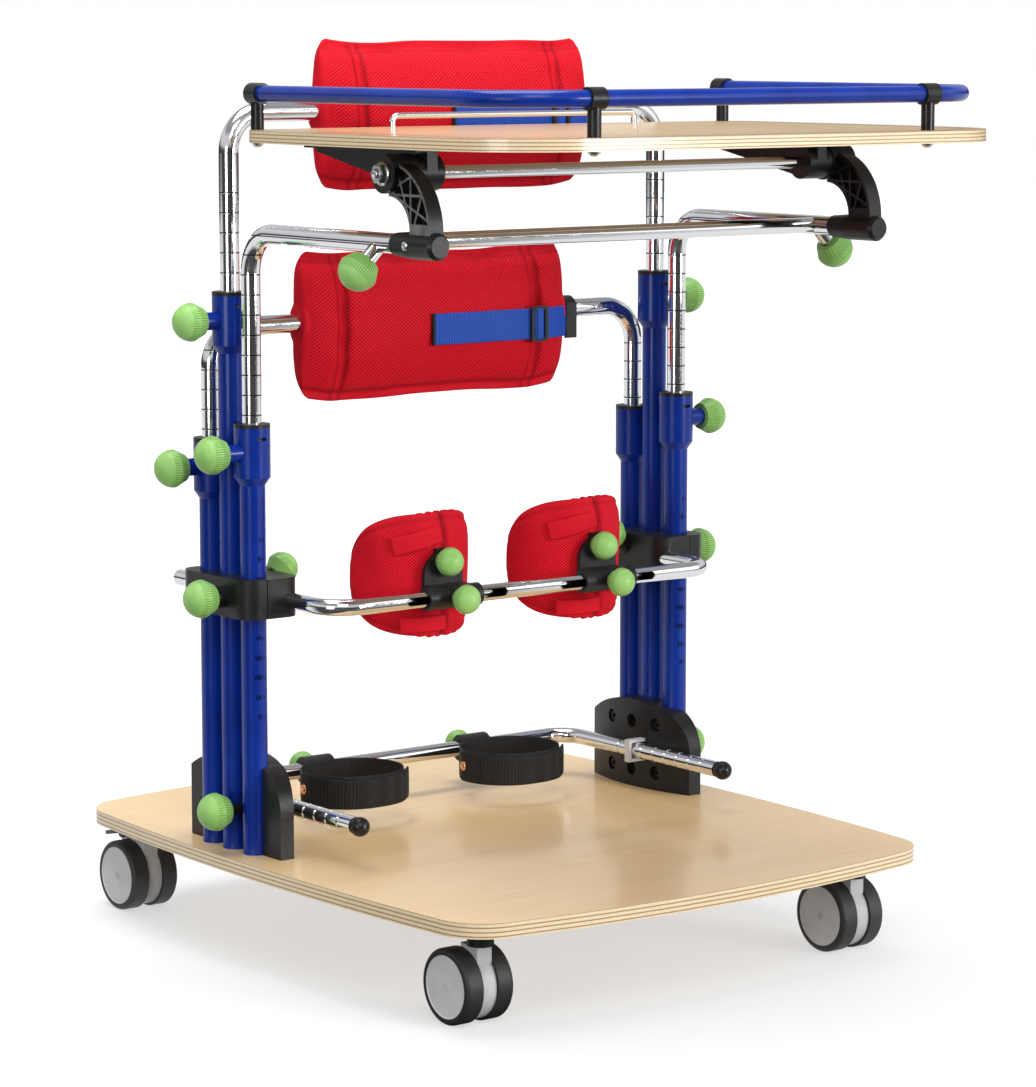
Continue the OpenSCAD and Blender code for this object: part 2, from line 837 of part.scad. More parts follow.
// Sleeve on the knee bar with the shield plate that the cup is screwed to
module shield_plan() {
    translate([-shield_w / 2, -shield_base]) square([shield_w, shield_base + over]);
    intersection() {
        circle(d = shield_w);
        translate([-shield_w / 2, 0]) square([shield_w, shield_w]);
    }
    translate([-shield_tab_w / 2, 0]) square([shield_tab_w, shield_tab]);
}
module knee_bracket(s) {
    front_y = tube_y - knee_front;
    sleeve = knee_r + gap + sleeve_wall;
    shield_y = front_y + sleeve + plate_gap_y;
    color("#2b2c2e")
    on_side(s)
        translate([cup_x, 0, 0])
            difference() {
                union() {
                    translate([-sleeve_len / 2, front_y, knee_z]) rod_x(sleeve, sleeve_len);
                    translate([0, front_y - sleeve - sleeve_boss_len, knee_z])
                        rod_y(sleeve_boss_r, sleeve + sleeve_boss_len);
                    translate([-shield_w / 2, front_y, knee_z + sleeve - ledge_t])
                        cube([shield_w, shield_y - front_y + over, ledge_t]);
                    translate([0, shield_y + shield_t, knee_z + shield_low + shield_base])
                        rotate([90, 0, 0]) linear_extrude(shield_t) shield_plan();
                }
                translate([-sleeve_len / 2 - over, front_y, knee_z]) rod_x(knee_r + gap, sleeve_len + 2 * over);
                translate([0, front_y - sleeve - sleeve_boss_len - over, knee_z])
                    rod_y(stud_r + stud_gap, sleeve + sleeve_boss_len);
                translate([0, shield_y - over, knee_z + turn_rise])
                    rod_y(stud_r + stud_gap, shield_t + 2 * over);
            }
}
// Knee cup: crowned padding swept round the knee, lower towards its two wings
function cup_y() = tube_y - knee_front + knee_r + gap + sleeve_wall + plate_gap_y + shield_t + gap + cup_r;
function cup_half(k) =
    cup_h / 2 * (cup_end_share + (1 - cup_end_share) * sqrt(1 - pow(abs(2 * k - 1), 3)));
function cup_thin(k, v) =
    cup_edge_share + (1 - cup_edge_share) * sqrt((1 - pow(v, 4)) * (1 - pow(2 * k - 1, 8)));
function cup_point(k, v, outside) =
    let (a = 270 - cup_sweep / 2 + cup_sweep * k, t = cup_t * cup_thin(k, v) / 2)
    let (r = cup_r - cup_t / 2 + (outside ? t : -t))
    [r * cos(a), r * sin(a), v * cup_half(k)];
module knee_pad(s) {
    color("firebrick")
    on_side(s)
        translate([cup_x, cup_y(), knee_z + cup_rise])
            difference() {
                skin([for (i = [0 : cup_steps]) [for (j = [0 : cup_rows])
                        cup_point(i / cup_steps, 2 * j / cup_rows - 1, true)]],
                    [for (i = [0 : cup_steps]) [for (j = [0 : cup_rows])
                        cup_point(i / cup_steps, 2 * j / cup_rows - 1, false)]]);
                translate([0, -cup_r - over, turn_rise - cup_rise]) rod_y(stud_r + stud_gap, cup_t / 2 + over);
            }
}
// Closed body between two grids of points, the first one seen from outside with columns to the right
module skin(face, back) {
    n = len(face);
    m = len(face[0]);
    id = function(i, j) i * m + j;
    grid = [for (i = [0 : n - 2], j = [0 : m - 2]) each
        [[id(i, j), id(i, j + 1), id(i + 1, j + 1)], [id(i, j), id(i + 1, j + 1), id(i + 1, j)]]];
    rim = [for (i = [0 : n - 1]) id(i, 0), for (j = [1 : m - 1]) id(n - 1, j),
        for (i = [1 : n - 1]) id(n - 1 - i, m - 1), for (j = [1 : m - 2]) id(0, m - 1 - j)];
    k = n * m;
    c = len(rim);
    polyhedron(
        points = [for (p = face) each p, for (p = back) each p],
        faces = [each grid, for (f = grid) [f[0] + k, f[2] + k, f[1] + k],
            for (q = [0 : c - 1]) each [[rim[q], rim[(q + 1) % c], rim[(q + 1) % c] + k],
                [rim[q], rim[(q + 1) % c] + k, rim[q] + k]]],
        convexity = 6);
}

// Arms of a back pad: up out of the tubes and inwards into the pad's ends
module pad_arms(y, top, z) {
    low = top - inner_stay;
    end_x = pad_w / 2 - arm_sunk;
    both()
        translate([0, y, 0]) {
            translate([tube_x, 0, low]) cylinder(r = inner_r, h = z - arm_bend_r - low);
            translate([tube_x - arm_bend_r, 0, z - arm_bend_r]) rotate([90, 0, 0]) bend(arm_bend_r, inner_r);
            translate([end_x, 0, z]) rod_x(inner_r, tube_x - arm_bend_r - end_x);
        }
}
// Back pad: crowned cushion with wings that lean back, drawn-in edges and a sewn channel at each seam
function pad_reach(u, deep) =
    let (ax = abs(u) * pad_w / 2)
    let (t = ax < pad_seam_x ? 1 : (pad_w / 2 - ax) / (pad_w / 2 - pad_seam_x))
    pad_end + (deep - pad_end) * t - pad_channel * exp(-pow((ax - pad_seam_x) / channel_w, 2));
function pad_swell(v) = sqrt(1 - pow(abs(v), 3));
function pad_point(u, v, deep, way) = [
    u * pad_w / 2 * (1 - pad_pinch_share * (1 - v * v)),
    way * (pad_edge + (pad_reach(u, deep) - pad_edge) * pad_swell(v)),
    v * pad_h / 2 * (1 - pad_pinch_share * (1 - u * u))];
module back_pad(y, z) {
    front = [for (i = [0 : pad_cols]) [for (j = [0 : pad_rows])
        pad_point(2 * i / pad_cols - 1, 2 * j / pad_rows - 1, pad_front, -1)]];
    rear = [for (i = [0 : pad_cols]) [for (j = [0 : pad_rows])
        pad_point(2 * i / pad_cols - 1, 2 * j / pad_rows - 1, pad_back, 1)]];
    difference() {
        translate([0, y, z - pad_drop]) skin(front, rear);
        both()
            translate([pad_w / 2 - arm_sunk - gap, y, z]) rod_x(inner_r + gap, arm_sunk + over);
    }
}
// Ladder buckle on the pad's face and the hook round the right arm
module strap_buckles(y, z) {
    translate([pad_seam_x - glide_bar, y - pad_front - gap, z - strap_drop])
        rotate([90, 0, 0])
            linear_extrude(glide_t)
                difference() {
                    round_rect(glide_w, glide_h, glide_bar);
                    for (s = [-1, 1])
                        translate([s * (glide_w - glide_bar) / 4, 0])
                            square([(glide_w - 3 * glide_bar) / 2, glide_h - 2 * glide_bar], center = true);
                }
    translate([pad_w / 2 + gap, y, z])
        rotate([90, 0, 90])
            linear_extrude(hook_w)
                difference() {
                    union() {
                        circle(r = inner_r + gap + hook_wall);
                        translate([-inner_r - gap - hook_wall, -strap_drop - glide_h / 2])
                            square([hook_wall, glide_h]);
                    }
                    circle(r = inner_r + gap);
                    translate([0, -inner_r - hook_wall - over])
                        square([inner_r + hook_wall + over, inner_r + hook_wall + over]);
                }
}
module dorsal_arms() { color("gainsboro") pad_arms(tube_y, dorsal_tube_top, dorsal_arm_z); }
module dorsal_pad() { color("firebrick") back_pad(tube_y, dorsal_arm_z); }
module dorsal_buckles() { color("black") strap_buckles(tube_y, dorsal_arm_z); }
module pelvic_arms() { color("gainsboro") pad_arms(pelvic_tube_y, pelvic_tube_top, pelvic_arm_z); }
module pelvic_pad() { color("firebrick") back_pad(pelvic_tube_y, pelvic_arm_z); }
module pelvic_buckles() { color("black") strap_buckles(pelvic_tube_y, pelvic_arm_z); }

// Tray frame: two arms bent forwards out of the front tubes, a cross bar and knob bosses
module depth_axis() {
    translate([tube_x, cross_y, tray_arm_z]) rotate([0, 135, 0]) children();
}
module tray_frame() {
    low = tray_tube_top - inner_stay;
    rear_y = tray_tube_y - arm_bend_r;
    color("gainsboro")
    difference() {
        union() {
            both() {
                translate([tube_x, tray_tube_y, low]) cylinder(r = inner_r, h = tray_arm_z - arm_bend_r - low);
                translate([tube_x, rear_y, tray_arm_z - arm_bend_r]) rotate([90, 0, 90]) bend(arm_bend_r, inner_r);
                translate([tube_x, -tray_arm_end, tray_arm_z]) rod_y(inner_r, rear_y + tray_arm_end);
                depth_axis() cylinder(r = depth_boss_r, h = depth_boss_len);
            }
            translate([-tube_x, cross_y, tray_arm_z]) rod_x(cross_d / 2, 2 * tube_x);
        }
        both() {
            translate([tube_x, -tray_arm_end - over, tray_arm_z]) rod_y(slide_bore_r, slide_len + over);
            depth_axis() cylinder(r = stud_r + stud_gap, h = depth_boss_len + over);
        }
    }
}
// Hinge arms: slide rods, end sleeves and curved lattice webs up to the tilt hubs
module lattice_band(r0, r1) {
    intersection() {
        difference() {
            circle(r = r1);
            circle(r = r0);
        }
        translate([-r1 - over, 0]) square([r1 + over, r1 + over]);
    }
}
module lattice_pockets(r0, r1) {
    difference() {
        lattice_band(r0 + pocket_wall, r1 - pocket_wall);
        translate([-r1 - over, -over]) square([r1 + over, hub_r / 2]);
        translate([-hub_r / 2, 0]) square([hub_r, r1 + over]);
        for (i = [1 : rib_count], s = [-1, 1])
            rotate([0, 0, 90 + 90 * i / (rib_count + 1)])
                translate([(r0 + r1) / 2, 0])
                    rotate([0, 0, s * 45]) square([2 * band_w, rib_w], center = true);
    }
}
module hinge_arm() {
    web_z = tray_arm_z + sleeve_r;
    r1 = band_reach;
    cone_y = -tray_arm_end - gap - sleeve_cone;
    difference() {
        union() {
            translate([tube_x - arm_t / 2, -hinge_y, web_z - over])
                rotate([90, 0, 90]) linear_extrude(arm_t) lattice_band(r1 - band_w, r1);
            translate([tube_x - hub_w / 2, -hinge_y, hinge_z]) rod_x(hub_r, hub_w);
            translate([tube_x - arm_t / 2, -hinge_y - r1, tray_arm_z]) cube([arm_t, band_w, sleeve_r]);
            translate([tube_x, -sleeve_front, tray_arm_z]) rod_y(sleeve_r, cone_y + sleeve_front);
            translate([tube_x, cone_y, tray_arm_z])
                rotate([-90, 0, 0]) cylinder(r1 = sleeve_r, r2 = sleeve_r * sleeve_cone_share, h = sleeve_cone);
            translate([tube_x, -tray_arm_end - over, tray_arm_z]) rod_y(slide_rod_r, slide_len - 2 * over);
            translate([tube_x, -sleeve_front - cap_t, tray_arm_z])
                rotate([-90, 0, 0]) cylinder(r1 = cap_r, r2 = sleeve_r, h = cap_t);
        }
        for (s = [-1, 1])
            translate([tube_x + s * arm_t / 2 - pocket_deep, -hinge_y, web_z - over])
                rotate([90, 0, 90]) linear_extrude(2 * pocket_deep) lattice_pockets(r1 - band_w, r1);
        translate([tube_x - hub_w / 2 - over, -hinge_y, hinge_z]) rod_x(rod_r + fit, hub_w);
    }
}
module hinge_arms() { color("#2b2c2e") both() hinge_arm(); }
module hinge_rod() {
    half = tube_x + hub_w / 2 - over - fit;
    color("gainsboro") translate([-half, -hinge_y, hinge_z]) rod_x(rod_r, 2 * half);
}
// Tray brackets: hub on the tilt rod, gusset and flange under the tray
module tray_bracket() {
    hub_x = tube_x - hub_w / 2 - gap - bracket_hub_w;
    mid_x = hub_x + bracket_hub_w / 2;
    low = hinge_z - bracket_hub_r;
    difference() {
        union() {
            translate([hub_x, -hinge_y, hinge_z]) rod_x(bracket_hub_r, bracket_hub_w);
            translate([mid_x - bracket_t / 2, 0, 0])
                rotate([90, 0, 90])
                    linear_extrude(bracket_t)
                        polygon([[-hinge_y - bracket_hub_r, tray_z], [-hinge_y - bracket_hub_r, hinge_z],
                            [-hinge_y, low], [-gusset_rear, tray_z - gusset_foot], [-gusset_rear, tray_z]]);
            translate([mid_x - flange_w / 2, -hinge_y - bracket_hub_r, tray_z - flange_t])
                cube([flange_w, hinge_y + bracket_hub_r - gusset_rear, flange_t]);
        }
        translate([hub_x - over, -hinge_y, hinge_z]) rod_x(rod_r + fit, bracket_hub_w + 2 * over);
    }
}
module tray_brackets() { color("#2b2c2e") both() tray_bracket(); }
module tray_board() {
    color("burlywood")
    translate([0, (tray_rear - tray_front) / 2, tray_z])
        linear_extrude(tray_t)
            bowed_outline(tray_w, tray_front + tray_rear, tray_side_bow, tray_end_bow, tray_front_r, tray_rear_r);
}
// Rail: a U of tube held by four posts
rail_x = tray_w / 2 - rail_inset;
rail_front_y = rail_inset - tray_front;
rail_rear_y = tray_rear - rail_rear_in;
rail_z = tray_top + rail_h;
module tray_rail() {
    color("royalblue") {
        translate([rail_bend_r - rail_x, rail_front_y, rail_z]) rod_x(rail_d / 2, 2 * (rail_x - rail_bend_r));
        both() {
            translate([rail_x - rail_bend_r, rail_front_y + rail_bend_r, rail_z])
                rotate([0, 0, -90]) bend(rail_bend_r, rail_d / 2);
            translate([rail_x, rail_front_y + rail_bend_r, rail_z])
                rod_y(rail_d / 2, rail_rear_y - rail_front_y - rail_bend_r);
        }
    }
}
module rail_posts() {
    seat = rail_d / 2 + fit;
    color("black")
    both() {
        translate([rail_x - rail_bend_r - post_head_w / 2, rail_front_y, tray_top])
            difference() {
                union() {
                    cylinder(r = post_r, h = rail_h);
                    translate([-post_head_w / 2, 0, rail_h]) rod_x(post_head_r, post_head_w);
                }
                translate([-post_head_w / 2 - over, 0, rail_h]) rod_x(seat, post_head_w + 2 * over);
            }
        translate([rail_x, rail_rear_y, tray_top])
            difference() {
                union() {
                    cylinder(r = post_r, h = rail_h);
                    translate([0, -post_head_w / 2, rail_h]) rod_y(post_head_r, post_head_w);
                }
                translate([0, -post_head_w / 2 - over, rail_h]) rod_y(seat, post_head_w / 2 + over + fit);
            }
    }
}
module book_stop() {
    color("gainsboro")
    translate([0, tray_rear - stop_in, tray_top]) {
        translate([stop_h - stop_len / 2, 0, stop_h]) rod_x(stop_r, stop_len - 2 * stop_h);
        both()
            translate([stop_len / 2 - stop_h, 0, 0]) {
                translate([0, 0, stop_h / 2]) rotate([90, 0, 0]) bend(stop_h / 2, stop_r);
                translate([stop_h / 2, 0, 0]) cylinder(r = stop_r, h = stop_h / 2);
            }
    }
}

// Clamp knobs, each with its stud down to what it clamps
module side_knob(y, z, seat_x, stud, d) {
    translate([seat_x + gap, y, z]) rotate([0, 90, 0]) knob(d, stud);
}
module height_knobs(y, top) {
    color("yellowgreen")
    both() side_knob(y, top - knob_drop, tube_x + boss_len, boss_len - inner_r, knob_d);
}
module tray_height_knobs() { height_knobs(tray_tube_y, tray_tube_top); }
module dorsal_height_knobs() { height_knobs(tube_y, dorsal_tube_top); }
module pelvic_height_knobs() { height_knobs(pelvic_tube_y, pelvic_tube_top); }
module heel_bar_knobs() {
    color("yellowgreen")
    both()
        side_knob(between_y, heel_z, tube_x + guide_len, guide_len + block_depth / 2, knob_d);
}
module knee_height_knobs() {
    color("yellowgreen")
    both()
        side_knob(between_y, knee_z + clamp_rise, tube_x + clamp_out + knee_boss_len,
            clamp_out + knee_boss_len - clamp_split, knob_d);
}
module tray_depth_knob(s) {
    color("yellowgreen")
    on_side(s)
        depth_axis() translate([0, 0, depth_boss_len + gap]) knob(knob_d, depth_boss_len - slide_rod_r);
}
module knee_depth_knob(s) {
    color("yellowgreen")
    on_side(s)
        knee_depth_axis() translate([0, 0, knee_knob_len + gap]) knob(clamp_knob_d, knee_knob_len);
}
module front_knob(x, y, z, stud) {
    translate([x, y - gap, z]) rotate([90, 0, 0]) knob(small_knob_d, stud);
}
module knee_turn_knob(s) {
    shield_y = tube_y - knee_front + knee_r + gap + sleeve_wall + plate_gap_y;
    color("yellowgreen")
    on_side(s) front_knob(cup_x, shield_y, knee_z + turn_rise, shield_t + cup_t / 2 - gap);
}
module knee_slide_knob(s) {
    seat_y = tube_y - knee_front - knee_r - gap - sleeve_wall - sleeve_boss_len;
    color("yellowgreen")
    on_side(s) front_knob(cup_x, seat_y, knee_z, sleeve_boss_len + sleeve_wall + knee_r);
}
module strap_knob(s) {
    seat_y = tube_y + heel_rear + heel_r + gap + carrier_wall;
    color("yellowgreen")
    on_side(s)
        translate([strap_x, seat_y + over + gap, heel_z]) rotate([-90, 0, 0]) knob(small_knob_d, carrier_wall);
}

base_board();
caster_plates();
tray_uprights();
dorsal_uprights();
pelvic_uprights();
guide_bushes();
foot_blocks();
block_screws();
bar_stirrups();
caster_fork(-1, -1);  // caster_fork_fl
caster_fork(1, -1);  // caster_fork_fr
caster_fork(-1, 1);  // caster_fork_rl
caster_fork(1, 1);  // caster_fork_rr
caster_wheels(-1, -1);  // caster_wheels_fl
caster_wheels(1, -1);  // caster_wheels_fr
caster_wheels(-1, 1);  // caster_wheels_rl
caster_wheels(1, 1);  // caster_wheels_rr
brake_pedal(-1);  // brake_pedal_rl
brake_pedal(1);  // brake_pedal_rr
heel_bar();
heel_bar_caps();
strap_carrier(-1);  // strap_carrier_l
strap_carrier(1);  // strap_carrier_r
foot_strap(-1);  // foot_strap_l
foot_strap(1);  // foot_strap_r
knee_clamps();
knee_bar();
knee_bracket(-1);  // knee_bracket_l
knee_bracket(1);  // knee_bracket_r
knee_pad(-1);  // knee_pad_l
knee_pad(1);  // knee_pad_r
dorsal_arms();
dorsal_pad();
dorsal_buckles();
pelvic_arms();
pelvic_pad();
pelvic_buckles();
tray_frame();
hinge_arms();
hinge_rod();
tray_brackets();
tray_board();
tray_rail();
rail_posts();
book_stop();
tray_height_knobs();
dorsal_height_knobs();
pelvic_height_knobs();
heel_bar_knobs();
knee_height_knobs();
tray_depth_knob(-1);  // tray_depth_knob_l
tray_depth_knob(1);  // tray_depth_knob_r
knee_depth_knob(-1);  // knee_depth_knob_l
knee_depth_knob(1);  // knee_depth_knob_r
knee_turn_knob(-1);  // knee_turn_knob_l
knee_turn_knob(1);  // knee_turn_knob_r
knee_slide_knob(-1);  // knee_slide_knob_l
knee_slide_knob(1);  // knee_slide_knob_r
strap_knob(-1);  // strap_knob_l
strap_knob(1);  // strap_knob_r
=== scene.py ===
import math
import bmesh
import bpy
import numpy as np
from mathutils import Matrix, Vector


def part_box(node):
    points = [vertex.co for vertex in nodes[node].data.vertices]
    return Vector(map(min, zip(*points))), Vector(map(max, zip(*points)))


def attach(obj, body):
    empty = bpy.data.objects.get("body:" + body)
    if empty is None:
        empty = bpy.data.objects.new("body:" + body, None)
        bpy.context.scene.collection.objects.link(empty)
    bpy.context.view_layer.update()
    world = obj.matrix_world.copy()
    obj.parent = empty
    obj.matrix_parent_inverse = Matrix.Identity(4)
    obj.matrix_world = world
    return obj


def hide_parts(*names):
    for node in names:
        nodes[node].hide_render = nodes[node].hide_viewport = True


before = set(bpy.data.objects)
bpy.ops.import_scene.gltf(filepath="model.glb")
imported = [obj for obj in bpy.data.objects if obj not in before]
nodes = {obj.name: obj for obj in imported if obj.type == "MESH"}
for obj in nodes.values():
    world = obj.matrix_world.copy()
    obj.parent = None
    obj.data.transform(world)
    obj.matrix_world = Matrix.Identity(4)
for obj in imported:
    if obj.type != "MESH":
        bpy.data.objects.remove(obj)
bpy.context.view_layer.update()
pi = math.pi
print("frame loaded:", len(nodes), "nodes")


# mesh helpers

def placed(name, data):
    obj = bpy.data.objects.new(name, data)
    bpy.context.collection.objects.link(obj)
    return obj


def pointsOf(mesh):
    co = np.empty(len(mesh.vertices) * 3)
    mesh.vertices.foreach_get("co", co)
    return co.reshape(-1, 3)


def corners(cadNode):
    return (np.array(c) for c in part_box(cadNode))


def surface(name, pts, wrapRows=False, wrapCols=False, **marks):
    # one quad per cell of a grid of points; UV is the mean arc length in metres along rows and columns;
    # each mark is a number per point that a material can read
    rows, cols = pts.shape[:2]
    r, c = np.meshgrid(np.arange(rows - (not wrapRows)), np.arange(cols - (not wrapCols)), indexing="ij")
    ring = [(r, c), (r + 1, c), (r + 1, c + 1), (r, c + 1)]
    quads = np.stack([(a % rows) * cols + b % cols for a, b in ring], -1)
    mesh = bpy.data.meshes.new(name)
    mesh.from_pydata(pts.reshape(-1, 3).tolist(), [], quads.reshape(-1, 4).tolist())

    def runLength(axis, wrap):
        closed = np.concatenate([pts, pts.take([0], axis)], axis) if wrap else pts
        step = np.linalg.norm(np.diff(closed, axis=axis), axis=2).mean(axis=1 - axis)
        return np.concatenate([[0], np.cumsum(step)])

    u, v = runLength(0, wrapRows), runLength(1, wrapCols)
    uv = np.stack([np.stack([u[a], v[b]], -1) for a, b in ring], -2)
    mesh.uv_layers.new(name="UVMap").data.foreach_set("uv", uv.reshape(-1))
    for key, value in marks.items():
        mesh.attributes.new(key, "FLOAT", "POINT").data.foreach_set("value", np.asarray(value, float).reshape(-1))
    mesh.polygons.foreach_set("use_smooth", np.ones(len(mesh.polygons), bool))
    return placed(name, mesh)


def tidyMesh(obj, merge=1e-6):
    # merges the doubled points of closed ends and turns the faces outwards
    bm = bmesh.new()
    bm.from_mesh(obj.data)
    bmesh.ops.remove_doubles(bm, verts=bm.verts, dist=merge)
    bmesh.ops.dissolve_degenerate(bm, edges=bm.edges, dist=merge / 10)
    bmesh.ops.recalc_face_normals(bm, faces=bm.faces)
    bm.to_mesh(obj.data)
    bm.free()
    return obj


def fillEnds(obj):
    # closes the two open rings of a tube
    bm = bmesh.new()
    bm.from_mesh(obj.data)
    bmesh.ops.holes_fill(bm, edges=[e for e in bm.edges if e.is_boundary])
    bmesh.ops.recalc_face_normals(bm, faces=bm.faces)
    bm.to_mesh(obj.data)
    bm.free()


def joined(name, parts):
    # several meshes as one piece
    bm = bmesh.new()
    for part in parts:
        bm.from_mesh(part.data)
        bpy.data.objects.remove(part)
    mesh = bpy.data.meshes.new(name)
    bm.to_mesh(mesh)
    bm.free()
    return placed(name, mesh)


def rounded(obj):
    smooth = obj.modifiers.new("smooth", "SUBSURF")
    smooth.levels = smooth.render_levels = 1


def dressed(obj, mat, body):
    # the piece's finish, the body it moves with and its material slot
    obj.data.materials.append(mat)
    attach(obj, body)


def frames(path, closed, up):
    # unit tangent, side and normal along a path, the side being up x tangent
    ahead = np.roll(path, -1, 0) - np.roll(path, 1, 0)
    if not closed:
        ahead[0], ahead[-1] = path[1] - path[0], path[-1] - path[-2]
    t = ahead / np.linalg.norm(ahead, axis=1, keepdims=True)
    side = np.cross(np.broadcast_to(up, t.shape), t)
    side /= np.linalg.norm(side, axis=1, keepdims=True)
    return t, side, np.cross(t, side)


def ribbon(name, path, width, thick, up, closed=False, edge=0.35, sides=16, **marks):
    # a flat band with rounded edges: its section, a squashed superellipse, is carried along the path; the width
    # runs along the path's normal and the thickness along its side, and both may change along the path
    t, side, normal = frames(path, closed, np.asarray(up, float))
    a = np.linspace(0, 2 * pi, sides, endpoint=False)
    w = np.sign(np.cos(a)) * np.abs(np.cos(a)) ** edge / 2
    h = np.sign(np.sin(a)) * np.abs(np.sin(a)) ** (2 * edge) / 2
    width, thick = (np.broadcast_to(np.asarray(k, float), len(path))[:, None] for k in (width, thick))
    pts = path[:, None] + (width * w)[..., None] * normal[:, None] + (thick * h)[..., None] * side[:, None]
    if not closed:
        pts = np.concatenate([path[:1, None].repeat(sides, 1), pts, path[-1:, None].repeat(sides, 1)])
    marks = {key: np.full(pts.shape[:2], value) for key, value in marks.items()}
    return tidyMesh(surface(name, pts, wrapRows=closed, wrapCols=True, **marks))


def revolve(name, profile, centre, axis, steps=32):
    # a profile of (radius, height) turned round an axis through the centre
    axis = np.asarray(axis, float)
    other = np.array([0.0, 0.0, 1.0]) if abs(axis[2]) < 0.9 else np.array([1.0, 0.0, 0.0])
    e1 = np.cross(axis, other)
    e1 /= np.linalg.norm(e1)
    e2 = np.cross(axis, e1)
    a = np.linspace(0, 2 * pi, steps, endpoint=False)
    spin = np.cos(a)[:, None] * e1 + np.sin(a)[:, None] * e2
    prof = np.asarray(profile, float)
    pts = np.asarray(centre) + prof[:, None, :1] * spin[None] + prof[:, None, 1:] * axis
    return tidyMesh(surface(name, pts, wrapCols=True), 1e-7)


# material helpers

def finish(name, color, rough, metal=0.0, **sockets):
    # further sockets of the shader are named with _ for each space
    mat = bpy.data.materials.new(name)
    mat.use_nodes = True
    shader = mat.node_tree.nodes["Principled BSDF"]
    shader.inputs["Base Color"].default_value = (*color, 1)
    shader.inputs["Roughness"].default_value = rough
    shader.inputs["Metallic"].default_value = metal
    for key, value in sockets.items():
        shader.inputs[key.replace("_", " ")].default_value = value
    return mat


def node(mat, kind, links=None, **settings):
    # each input is linked to a socket or set to a value
    made = mat.node_tree.nodes.new("ShaderNode" + kind)
    for key, value in settings.items():
        setattr(made, key, value)
    for key, value in (links or {}).items():
        if isinstance(value, bpy.types.NodeSocket):
            mat.node_tree.links.new(value, made.inputs[key])
        else:
            made.inputs[key].default_value = value
    return made


def maths(mat, op, a, b=0.0, c=0.0):
    return node(mat, "Math", {0: a, 1: b, 2: c}, operation=op).outputs[0]


def vectorMaths(mat, op, a, b=(0, 0, 0)):
    made = node(mat, "VectorMath", {0: a, 1: b}, operation=op)
    return made.outputs["Value" if op in ("DOT_PRODUCT", "LENGTH") else "Vector"]


def blendColors(mat, share, a, b):
    mix = node(mat, "Mix", {"Factor": share}, data_type="RGBA")
    for socket, value in ((mix.inputs[6], a), (mix.inputs[7], b)):
        if isinstance(value, bpy.types.NodeSocket):
            mat.node_tree.links.new(value, socket)
        else:
            socket.default_value = (*value, 1)
    return mix.outputs[2]


def shaderLink(mat, value, socket):
    mat.node_tree.links.new(value, mat.node_tree.nodes["Principled BSDF"].inputs[socket])


def coords(mat, source="Object"):
    return node(mat, "TexCoord").outputs[source]


def spot(mat, scale=(1, 1, 1)):
    return node(mat, "Mapping", {"Vector": coords(mat), "Scale": scale}).outputs[0]


def axes(mat, source="Object"):
    return node(mat, "SeparateXYZ", {0: coords(mat, source)}).outputs


def noise(mat, vector, scale, detail=3.0, rough=0.5):
    made = node(mat, "TexNoise", {"Vector": vector, "Scale": scale, "Detail": detail, "Roughness": rough})
    return made.outputs["Fac"]


def ranged(mat, value, fromLow, fromHigh, low=0.0, high=1.0):
    ends = {"From Min": fromLow, "From Max": fromHigh, "To Min": low, "To Max": high}
    return node(mat, "MapRange", {"Value": value, **ends}).outputs[0]


def cloudy(mat, low, high, scale, detail, span):
    # a colour that drifts from low to high as a soft noise crosses the span
    return blendColors(mat, ranged(mat, noise(mat, spot(mat), scale, detail), *span), low, high)


def bumped(mat, height, distance, strength=1.0):
    bump = node(mat, "Bump", {"Height": height, "Distance": distance, "Strength": strength})
    shaderLink(mat, bump.outputs[0], "Normal")


def within(mat, value, middle, half):
    # 1 where value is closer to middle than half
    return maths(mat, "LESS_THAN", maths(mat, "ABSOLUTE", maths(mat, "SUBTRACT", value, middle)), half)


def facing(mat, axis, least):
    # 1 where the surface faces either way along the axis
    return maths(mat, "GREATER_THAN", maths(mat, "ABSOLUTE", axes(mat, "Normal")[axis]), least)


# finishes

birch = {
    "plies": 7, "grain": (1.6, 26, 26), "pores": (6, 240, 240), "patches": (1, 1.6, 1), "fibres": (300, 300, 900),
    "dark": (0.665, 0.45, 0.215), "light": (0.765, 0.555, 0.29), "patch": (0.82, 0.62, 0.355),
    "crossPly": (0.40, 0.225, 0.095), "longPly": (0.84, 0.70, 0.47), "fibre": (0.50, 0.32, 0.16),
    # per board: above 1 is painted light on the base board, below 1 is painted shade on the tray board
    "wobble": 0.0006, "flat": 0.7, "paintedLightScale": {"base_board": 1.2, "tray_board": 0.84},
}


